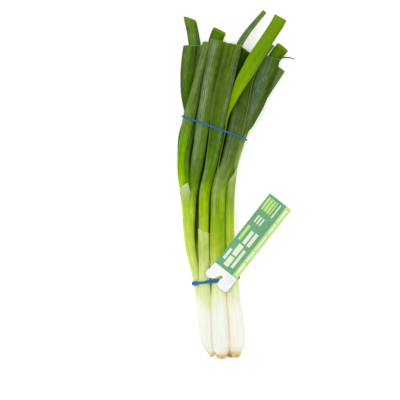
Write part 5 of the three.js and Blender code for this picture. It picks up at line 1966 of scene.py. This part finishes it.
def onions() -> tuple[Onion, ...]:
    """The six onions of the bunch.

    Returns:
        The onions, lowest ones last.
    """
    # Below, every stroke of the darkening tint is painted shade where a leaf or stem runs beside or under
    # another.
    a = Onion("a", (
        stem("a", A_STEM, STEM_A, collar=1.0, peak=(0.06, 9.5, 1.15, 0.14), slope_run=14.0, paper=9.0,
             notch=0.12, notch_side=0.25, notch_from=-34.0, slant=(6.0, 11.0), sides=112, strokes=(
                 pale(-0.45, -0.35, 0.5, -15.0, 3.0, 0.55),)),
    ), (
        leaf("a", "left", A_LEFT_LEAF, LEAF_A_LEFT, skew=-2.4, lip=1.0, sway=0.1, strokes=(
            bloom(-0.35, -0.3, 0.4, 60.0, 137.0, 0.4), dusk(0.7, 0.8, 0.4, 20.0, 137.0, 0.7)),
            ridges=(Ridge(-0.3, 0.25, 0.08), Ridge(0.35, 0.2, 0.05))),
        leaf("a", "front", A_FRONT_LEAF, LEAF_A_FRONT, lip=0.8, strokes=(
            bloom(-0.45, -0.5, 0.38, 16.0, 140.0, 0.8), dusk(0.75, 0.65, 0.35, 96.0, 140.0, 1.0),
            dusk(0.8, 0.75, 0.3, 10.0, 100.0, 0.35)),
            ridges=(Ridge(0.12, 0.16, 0.16), Ridge(-0.4, 0.2, 0.05))),
        leaf("a", "outer", A_OUTER_LEAF, LEAF_A_OUTER, skew=-1.2, lip=1.0, strokes=(
            bloom(-0.5, -0.4, 0.3, 90.0, 135.0, 0.25), dusk(0.8, 0.7, 0.3, 60.0, 135.0, 0.5),
            dusk(0.75, 0.75, 0.45, 0.0, 60.0, 1.0))),
        leaf("a", "inner", A_INNER_LEAF, LEAF_A_INNER, skew=-0.6, lip=0.8, strokes=(
            bloom(0.5, 0.5, 0.4, 80.0, 135.0, 0.5), dusk(-0.7, -0.7, 0.4, 70.0, 140.0, 1.0),
            # A painted highlight along the left edge, then painted shade along the right edge.
            pale(-0.95, -0.9, 0.14, -4.0, 44.0, 0.45), dusk(0.85, 0.85, 0.3, 6.0, 44.0, 0.8),
            bloom(-0.5, -0.5, 0.3, 16.0, 42.0, 0.5))),
    ), 11)
    b = Onion("b", (
        stem("b", B_STEM, STEM_B, collar=3.4, peak=(-0.8, 1.4, 0.2, 0.2), pocket=4.0, slant=(9.0, 0.0),
             # Painted light in the crease beside the next bulb, and painted shade along the gap beside onion
             # a's stem.
             strokes=(straw(0.82, 0.84, 0.2, -156.0, -112.0, 0.32),
                      dusk(-0.9, -0.9, 0.35, -76.0, -46.0, 0.3))),
        Stem("onion_b_inner_sheath", B_CORE, CORE_B, nodes=("onion_b_leaves",), seed=31, rim=False,
             strokes=(bloom(-0.7, -0.7, 0.35, -38.0, 2.0, 0.5),)),
    ), (
        leaf("b", "front", B_FRONT_LEAF, LEAF_B_FRONT, skew=-0.7, lip=1.2, strokes=(
            # The thin pale line along the left edge is a painted highlight.
            bloom(0.6, 0.6, 0.3, 20.0, 132.0, 0.42), pale(-0.97, -0.97, 0.035, 14.0, 132.0, 0.35),
            bloom(-0.75, -0.75, 0.3, -4.0, 20.0, 0.6)),
            ridges=(Ridge(0.1, 0.2, 0.10), Ridge(-0.5, 0.2, -0.05))),
        leaf("b", "thin", B_THIN_LEAF, LEAF_B_THIN, lip=1.6, wall=0.4, strokes=(
            bloom(-0.2, -0.2, 0.7, 120.0, 158.0, 0.55),)),
    ), 12)
    c = Onion("c", (
        stem("c", C_STEM, STEM_C, collar=2.0, slant=(-6.0, 8.0), strokes=(
            # Painted light in the creases on both sides of the bulb.
            bloom(-0.8, -0.8, 0.2, -56.0, -20.0, 0.3), straw(-0.84, -0.84, 0.17, -156.0, -112.0, 0.35),
            straw(0.85, 0.85, 0.17, -152.0, -104.0, 0.5))),
    ), (
        leaf("c", "front", C_FRONT_LEAF, LEAF_C_FRONT, lip=1.0, strokes=(
            # The thin pale line along the right edge is a painted highlight.
            bloom(-0.3, -0.3, 0.4, 8.0, 76.0, 0.32), pale(0.975, 0.975, 0.035, 40.0, 120.0, 0.35),
            bloom(-0.55, -0.3, 0.5, -24.0, 16.0, 0.6), bloom(0.4, 0.3, 0.3, -10.0, 14.0, 0.2)),
            ridges=(Ridge(0.0, 0.25, 0.08),)),
        leaf("c", "blade", C_BLADE_LEAF, LEAF_C_BLADE, skew=0.5, pocket=0.0, fold=0.6, sway=0.1, strokes=(
            dusk(0.9, 0.9, 0.2, 60.0, 160.0, 0.35),)),
    ), 13, 5.8)
    d = Onion("d", (
        stem("d", D_STEM, STEM_D, collar=-24.0, peak=(-0.45, 2.6, 0.5, 0.5), slope_run=26.0, paper=8.0,
             strokes=(pale(0.5, 0.6, 0.4, -16.0, 16.0, 0.2), bloom(-0.2, 0.0, 0.4, -40.0, 10.0, 0.35),
                      # Painted light in the crease on the bulb's left side.
                      straw(-0.80, -0.80, 0.24, -152.0, -100.0, 0.68))),
    ), (
        leaf("d", "front", D_FRONT_LEAF, LEAF_D_FRONT, skew=0.7, lip=0.8, strokes=(
            bloom(-0.3, -0.2, 0.5, 40.0, 118.0, 0.6), dusk(0.85, 0.85, 0.2, 40.0, 124.0, 0.3)),
            ridges=(Ridge(-0.35, 0.2, 0.10), Ridge(0.3, 0.2, 0.06))),
        leaf("d", "side", D_SIDE_LEAF, LEAF_D_SIDE, lip=1.0, strokes=(
            bloom(-0.2, 0.0, 0.6, 30.0, 112.0, 0.45),)),
    ), 14, 6.0)
    e = Onion("e", (stem("e", E_STEM, STEM_E, collar=3.0, papery=0.0),), (
        leaf("e", "left", E_LEFT_LEAF, LEAF_E_LEFT, skew=6.4, lip=3.5, strokes=(
            bloom(-0.2, -0.2, 0.5, 110.0, 158.0, 0.2), dusk(0.8, 0.8, 0.3, 60.0, 158.0, 0.4))),
        leaf("e", "right", E_RIGHT_LEAF, LEAF_E_RIGHT, skew=1.4, lip=3.0),
    ), 15)
    f = Onion("f", (stem("f", F_STEM, STEM_F, collar=2.0, papery=0.0),), (
        leaf("f", "left", F_LEFT_LEAF, LEAF_F_LEFT, skew=3.4, lip=1.2),
        leaf("f", "right", F_RIGHT_LEAF, LEAF_F_RIGHT, lip=3.5),
        leaf("f", "dry_tip", F_DRY_TIP_LEAF, DRY_TIP, pocket=0.0, sides=24, sway=0.05),
    ), 16, root_finish=LOW_SHADED_ROOTS)
    return a, b, c, d, e, f


UPPER_BLUE = RubberFinish("upper_band_rubber", tone(10, 112, 180), tone(4, 88, 156))
LOWER_BLUE = RubberFinish("lower_band_rubber", tone(34, 114, 176), tone(18, 84, 150))
BANDS = (
    RubberBand("upper_rubber_band", "upper_band", (Strand((-51.7, 65.2), -0.37, 0.15, 2),),
               UPPER_BLUE, wide=0.78),
    RubberBand("lower_rubber_band", "lower_band", (
        Strand((-41.7, -94.4), 0.13, 0.45, 5, 0.0, 0.3),
        Strand((-41.7, -95.8), 0.15, 0.45, 5, math.pi, 0.3),
    ), LOWER_BLUE, wide=0.95, thick=0.68),
)


@dataclass
class Studio:
    """A pale floor, soft light from the left and a long lens that looks straight down.

    aim is what the camera looks at, view_width how wide the picture is at view_height, and
    floor_half and floor_cells are half the floor's side and its squares along a side. All lengths
    are in metres, but for the lens and its sensor, which are in mm.
    """

    aim: tuple[float, float] = (-0.0350, -0.0151)
    view_width: float = 0.3828
    view_height: float = 0.013
    lens: float = 220.0
    sensor: float = 36.0
    floor_half: float = 3.0
    floor_cells: int = 12
    sky: float = 0.7
    farthest: float = 20.0

    def build_floor(self) -> None:
        """Lays the floor, which isn't part of the bunch."""
        mesh = bpy.data.meshes.new("floor")
        row = self.floor_cells + 1
        steps = np.linspace(-self.floor_half, self.floor_half, row)
        points = [(x, y, 0.0) for y in steps for x in steps]
        corners = [r * row + c for r in range(self.floor_cells) for c in range(self.floor_cells)]
        mesh.from_pydata(points, [], [(k, k + 1, k + row + 1, k + row) for k in corners])
        bench = NodeBench("pale_floor")
        cloud = bench.clouds(6.0, 2.0)
        colour = bench.mix(bench.span(cloud, 0.3, 0.7), tone(250, 250, 250), tone(252, 252, 251))
        mesh.materials.append(bench.finish(colour, 0.9, Specular_IOR_Level=0.1,
                                           Emission_Color=(1.0, 1.0, 1.0), Emission_Strength=0.34))
        floor = bpy.data.objects.new("floor", mesh)
        bpy.context.scene.collection.objects.link(floor)

    def light(self, name: str, spot: tuple[float, float, float], size: float, watts: float) -> None:
        """Hangs a square soft light that faces the bunch.

        Args:
            name: Its name.
            spot: Where it hangs, in metres.
            size: Its side, in metres.
            watts: Its power.
        """
        lamp = bpy.data.lights.new(name, "AREA")
        lamp.size = size
        lamp.energy = watts
        hung = bpy.data.objects.new(name, lamp)
        hung.location = spot
        east, north, up = np.array([*self.aim, 0.0]) - np.array(spot)
        hung.rotation_euler = (math.atan2(math.hypot(east, north), -up), 0.0, math.atan2(-east, north))
        bpy.context.scene.collection.objects.link(hung)

    def build(self) -> None:
        """Sets up the floor, the lights, the background and the camera."""
        self.build_floor()
        self.light("key", (-0.8, 0.25, 1.25), 1.0, 5.6)
        self.light("fill", (0.7, -0.2, 1.4), 1.4, 4.6)
        world = bpy.data.worlds.new("studio")
        world.use_nodes = True
        background = world.node_tree.nodes["Background"]
        background.inputs["Color"].default_value = (1.0, 1.0, 1.0, 1.0)
        background.inputs["Strength"].default_value = self.sky
        scene = bpy.context.scene
        scene.world = world
        scene.view_settings.view_transform = "Standard"
        lens = bpy.data.cameras.new("camera")
        lens.lens = self.lens
        lens.sensor_width = self.sensor
        lens.clip_end = self.farthest
        camera = bpy.data.objects.new("camera", lens)
        camera.location = (*self.aim, self.view_height + self.view_width * self.lens / self.sensor)
        scene.collection.objects.link(camera)
        scene.camera = camera


def main() -> None:
    """Builds the bunch and the studio round it."""
    logging.basicConfig(level=logging.INFO, format="%(name)s %(message)s")
    made = [piece for onion in onions() for piece in onion.build()]
    for band in BANDS:
        log_piece(band.build(made))
    log_piece(CardTag().build())
    Studio().build()


if __name__ == "__main__":
    main()
